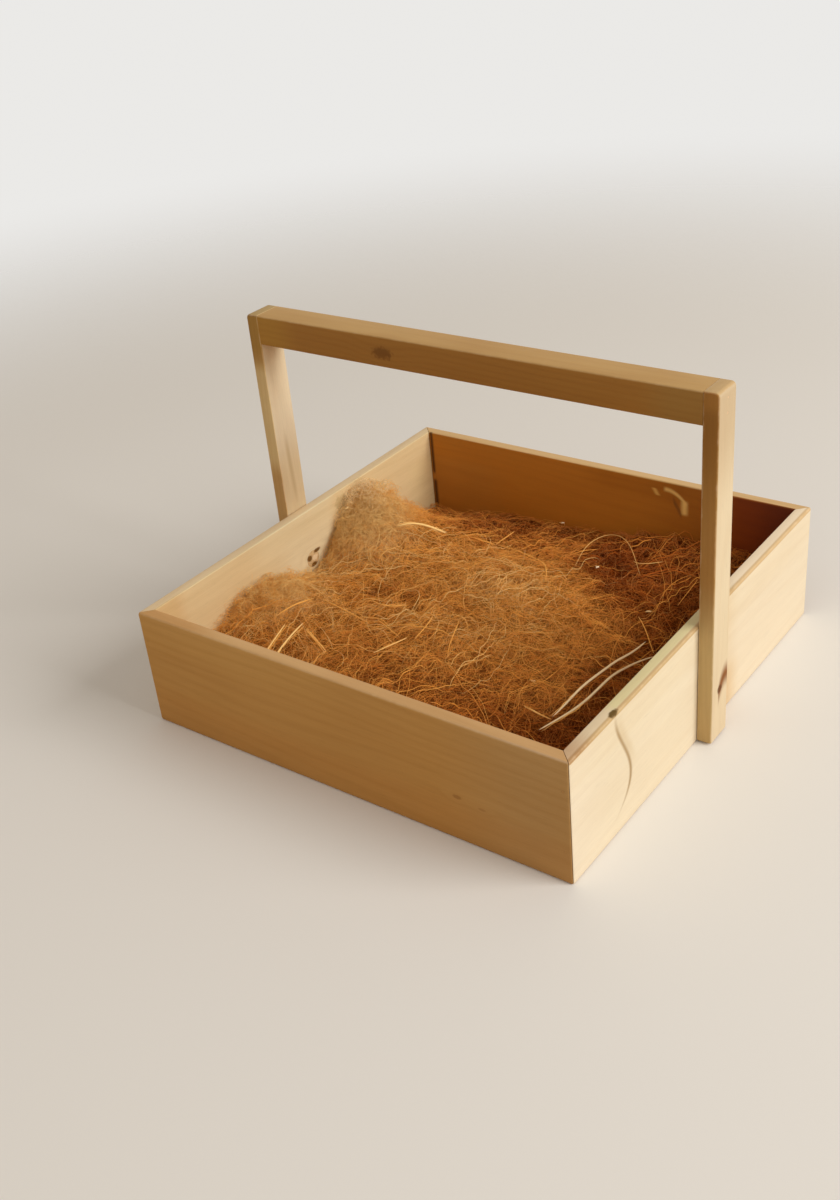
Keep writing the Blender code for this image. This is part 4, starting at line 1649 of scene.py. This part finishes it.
def makeThreads(random, section, finish):
    count = threads["count"]
    x = random.uniform(-0.136, 0.040, count)
    y = random.uniform(-0.125, 0.060, count)
    path = stroll(random, x, y, threads)
    along = fromRoot(threads["steps"])
    lift = perStrand(random, 0.0002, 0.0020, count)
    lift = lift + perStrand(random, 0, 0.004, count) * np.sin(math.pi * along)
    lift = lift + 0.0006 * np.sin(along * perStrand(random, 5, 15, count))
    points = keepInside(lay(path, lift))
    tones = heapTone(x, y) + random.uniform(0.14, 0.34, count)
    radii = thickness(random, threads, count)
    growInParts("fibreThreads", section, points, radii, np.minimum(tones, heapTones["palest"]), finish)


def makeStraws(random, section, finish):
    count = straws["count"]
    x, y = random.uniform(-1, 1, (2, count)) * 0.125
    path = stroll(random, x, y, straws)
    along = fromRoot(straws["steps"])
    lift = perStrand(random, -0.001, 0.0012, count)
    lift = lift + perStrand(random, 0, 0.004, count) * np.sin(math.pi * along) ** 2
    lift = lift + 0.0007 * np.sin(along * perStrand(random, 5, 15, count))
    points = keepInside(lay(path, lift))
    tones = 0.66 + random.normal(0, 0.09, count) + 0.8 * (heapTone(x, y) - 0.52)
    growInParts("fibreStraws", section, points, thickness(random, straws, count), tones, finish)


def makeDarkStraws(random, section, finish):
    count = darkStraws["count"]
    right = random.uniform(0, 1, count) < darkStraws["atRight"]
    x = np.where(right, random.uniform(0.070, 0.138, count), random.uniform(-0.04, 0.138, count))
    y = np.where(right, random.uniform(-0.130, 0.138, count), random.uniform(0.080, 0.138, count))
    path = stroll(random, x, y, darkStraws)
    lift = perStrand(random, -0.0005, 0.0016, count)
    lift = lift + perStrand(random, 0, 0.003, count) * np.sin(math.pi * fromRoot(darkStraws["steps"]))
    points = keepInside(lay(path, lift))
    tones = heapTone(x, y) + random.uniform(-0.08, 0.22, count)
    growInParts("fibreDarkStraws", section, points, thickness(random, darkStraws, count), tones, finish)


# Strands that stand out in the photograph, in millimetres: radius, tone and points
longStrands = {
    "chipOne": (0.55, 0.99, (-29.2, 140.4, 29.8), (-28.0, 140.8, 30.6), (-26.8, 141.2, 29.9)),
    "chipTwo": (0.65, 1.00, (36.4, 75.2, 43.1), (37.0, 76.2, 43.9), (37.6, 77.2, 43.2)),
    "chipThree": (0.50, 0.96, (66.4, -53.4, 41.7), (67.9, -53.1, 42.5), (69.4, -52.8, 41.8)),
    "chipFour": (0.55, 0.94, (88.2, 45.2, 40.8), (89.8, 46.0, 41.6), (91.4, 46.8, 40.9)),
    "strawUpper": (
        0.75, 0.975, (95, -77, 41.0), (97, -68, 43.1), (97, -53, 45.0), (99, -38, 45.4),
        (101, -26, 45.4), (102, -14, 45.0), (105, -2, 43.1), (105, 14, 42.0),
    ),
    "strawLower": (
        0.75, 0.975, (94, -90, 40.0), (98, -80, 41.0), (103, -70, 42.8), (106, -57, 44.3),
        (107, -44, 45.5), (107, -31, 45.3), (109, -19, 43.8), (112, -5, 42.0), (116, 3, 41.0),
    ),
    "bigLoop": (
        0.20, 0.85, (25, 68, 45.0), (20, 84, 44.9), (16, 98, 43.6), (17, 111, 43.2), (21, 118, 43.5),
        (30, 118, 45.5), (41, 110, 47.2), (54, 95, 47.6), (61, 85, 46.9), (69, 75, 46.0),
    ),
    "loopBranch": (0.24, 0.84, (56, 90, 46.0), (62, 83, 48.2), (69, 88, 48.2), (74, 96, 47.0)),
    "fallingStrand": (0.30, 0.66, (89, 34, 44.0), (100, 24, 45.2), (109, 11, 43.2), (114, 7, 40.0)),
    "wallStrandOne": (0.22, 0.55, (104, 57, 43.0), (105, 62, 46.2), (104, 80, 46.2), (102, 89, 45.0)),
    "wallStrandTwo": (0.20, 0.45, (92, 57, 44.0), (91, 68, 47.2), (91, 79, 47.2), (96, 92, 45.0)),
    "frontTuft": (0.50, 0.88, (76, -76, 41.0), (83, -79, 43.2), (88, -80, 42.2), (94, -78, 40.0)),
    "hillArc": (
        0.75, 0.92, (-95, 37, 61.0), (-90, 41, 62.8), (-84, 47, 61.5), (-78, 53, 56.8),
        (-71, 59, 51.0),
    ),
    "veeLow": (0.34, 0.72, (-59, 70, 46.0), (-47, 68, 46.5), (-41, 74, 42.0)),
    "veeHigh": (0.32, 0.74, (-41, 74, 42.0), (-40, 85, 42.5), (-45, 104, 37.0)),
    "longSweep": (
        0.34, 0.74, (-41, 74, 42.0), (-23, 72, 43.5), (-8, 67, 44.4), (5, 62, 46.4), (12, 55, 46.5),
        (19, 41, 46.0),
    ),
    "middleOne": (0.36, 0.78, (-65, -32, 48.0), (-56, -37, 49.2), (-48, -34, 48.2), (-45, -24, 46.0)),
    "middleTwo": (0.32, 0.74, (-17, -53, 45.0), (-16, -42, 47.5), (-21, -28, 46.0)),
    "middleThree": (0.40, 0.86, (-29, -79, 46.0), (-25, -75, 48.2), (-23, -67, 47.2), (-22, -54, 45.0)),
    "middleFour": (0.30, 0.74, (-50, -47, 46.0), (-34, -55, 48.5), (-26, -56, 45.0)),
    "leftOne": (0.36, 0.76, (-91, -51, 52.0), (-74, -54, 52.2), (-61, -55, 50.2), (-55, -53, 47.0)),
    "leftTwo": (0.40, 0.80, (-79, -82, 50.0), (-64, -90, 50.5), (-54, -94, 47.0)),
    "frontSweep": (0.32, 0.70, (12, -59, 44.0), (7, -52, 47.2), (4, -41, 47.2), (-5, -22, 45.0)),
    "strawOne": (0.50, 0.88, (-87, -121, 41.0), (-89, -106, 48.0), (-87, -99, 52.5), (-92, -86, 52.0)),
    "strawTwo": (0.55, 0.92, (-80, -119, 41.0), (-82, -104, 48.0), (-80, -94, 52.5), (-84, -78, 51.0)),
    "strawThree": (0.44, 0.80, (-79, -81, 50.0), (-66, -88, 50.5), (-55, -92, 47.0)),
    "strawFour": (0.36, 0.76, (-102, -83, 53.0), (-99, -78, 56.2), (-98, -69, 56.2), (-95, -54, 53.0)),
}

# a thinner strand beside each strand over this radius
companion = {
    "from": 0.33, "drift": 0.0005, "parting": 0.0012, "wobble": 0.0002,
    "radius": (0.3, 0.6), "deeper": (0.0, 0.2),
}


def guideLine(stops, steps):
    # even points along a smooth curve through the stops, in metres
    curve = bpy.data.curves.new("guide", "CURVE")
    spline = curve.splines.new("NURBS")
    spline.points.add(len(stops) - 1)
    spots = np.array([(*stop, 1000.0) for stop in stops], np.float32) / 1000
    spline.points.foreach_set("co", spots.ravel())
    spline.order_u = min(4, len(stops))
    spline.use_endpoint_u = True
    spline.resolution_u = 12
    guide = bpy.data.objects.new("guide", curve)
    bpy.context.scene.collection.objects.link(guide)
    workOn(guide)
    bpy.ops.object.convert(target="MESH")
    guide = bpy.context.object
    run = np.array([vertex.co for vertex in guide.data.vertices])
    bpy.data.objects.remove(guide, do_unlink=True)
    gone = np.concatenate([[0], np.cumsum(np.linalg.norm(np.diff(run, axis=0), axis=1))])
    wanted = np.linspace(0, gone[-1], steps)
    return np.stack([np.interp(wanted, gone, run[:, axis]) for axis in range(3)], axis=1)


def makeLongStrands(random, section, finish):
    steps = 30
    points, radii, tones = [], [], []
    for radius, tone, *stops in longStrands.values():
        clearPicks()
        run = guideLine(stops, steps)
        points.append(run)
        radii.append(radius / 1000)
        tones.append(tone)
        if radius > companion["from"]:  # a thinner strand runs along with it and parts from it
            drift = random.normal(0, companion["drift"], 3)
            drift = drift + np.linspace(-1, 1, steps)[:, None] * random.normal(0, companion["parting"], 3)
            points.append(run + drift + companion["wobble"] * random.normal(0, 1, (steps, 3)))
            radii.append(radius * random.uniform(*companion["radius"]) / 1000)
            tones.append(tone - random.uniform(*companion["deeper"]))
    points, radii, tones = np.array(points), np.array(radii), np.array(tones)
    strands = growStrands("fibreLongStrands", section, points, radii, tones, 0.45)
    dress(strands, finish, "bedding")


def makeBedding():
    random = np.random.default_rng(heap["seed"])
    threeSided, sixSided = makeSection(3), makeSection(6)
    finish = makeFibreFinish()
    makeCore(makeCoreFinish())
    for make in (makeMat, makeTufts, makeClouds, makeWisps, makeFuzz, makeCurls):
        make(random, threeSided, finish)
    makeSides(random, threeSided, finish, allSides)
    for make in (makeThreads, makeStraws, makeDarkStraws):
        make(random, threeSided, finish)
    makeLongStrands(random, sixSided, finish)
    makeSides(np.random.default_rng(heap["seed"] + 1), threeSided, finish, leftSide)
    for section in (threeSided, sixSided):
        bpy.data.objects.remove(section, do_unlink=True)


# Studio

def makeStage():
    clearPicks()
    bpy.ops.mesh.primitive_plane_add(size=studio["floorSize"])
    floor = bpy.context.object
    floor.name = "studioFloor"
    material, tree = newMaterial("studioFloorPaint")
    shader = tree.nodes["Principled BSDF"]
    seen = put(tree, "ShaderNodeLightPath").outputs["Is Camera Ray"]
    colour = blendColour(tree, seen, studio["floorBounce"], studio["floorColour"])
    tree.links.new(colour, shader.inputs["Base Color"])
    away = vectorReckon(tree, "LENGTH", put(tree, "ShaderNodeTexCoord").outputs["Object"])
    # the floor runs out into the backdrop
    tree.links.new(fade(tree, away, *studio["floorFade"], 1.0, 0.0), shader.inputs["Alpha"])
    shader.inputs["Roughness"].default_value = 0.9
    shader.inputs["Specular IOR Level"].default_value = 0.2
    floor.data.materials.append(material)


def lightStudio():
    world = bpy.data.worlds.new("studioWorld")
    bpy.context.scene.world = world
    world.use_nodes = True
    tree = world.node_tree
    tree.nodes.clear()
    light = {"Color": studio["skyColour"], "Strength": studio["skyStrength"]}
    sky = put(tree, "ShaderNodeBackground", light)
    seen = put(tree, "ShaderNodeBackground", {"Color": studio["backdropColour"], "Strength": 1.0})
    path = put(tree, "ShaderNodeLightPath").outputs
    direct = reckon(tree, "MAXIMUM", path["Is Camera Ray"], path["Is Glossy Ray"])
    direct = reckon(tree, "MAXIMUM", direct, path["Is Transmission Ray"])
    mixed = put(tree, "ShaderNodeMixShader", {0: direct, 1: sky.outputs[0], 2: seen.outputs[0]})
    put(tree, "ShaderNodeOutputWorld", {"Surface": mixed.outputs[0]})
    for name, lamp in studio["lamps"].items():
        place = Vector(lamp["place"])
        turn = (place - Vector(studio["lampAim"])).to_track_quat("Z", "Y").to_euler()
        bpy.ops.object.light_add(type="AREA", location=place, rotation=turn)
        made = bpy.context.object
        made.name = name
        made.data.size = lamp["size"]
        made.data.energy = lamp["power"]
        made.data.color = lamp["colour"]


addCamera()
makeStage()
lightStudio()
bpy.context.scene.view_settings.view_transform = "Standard"
print("camera, floor and lamps are set")
makeBoards()
print("boards are cut")
for postSide in ("left", "right"):
    makePost(postSide)
makeBar()
print("handle is made")
makePanel()
makeDowels()
dressPins()
print("panel, dowels and pins are in")
makeBedding()
print("bedding is laid")
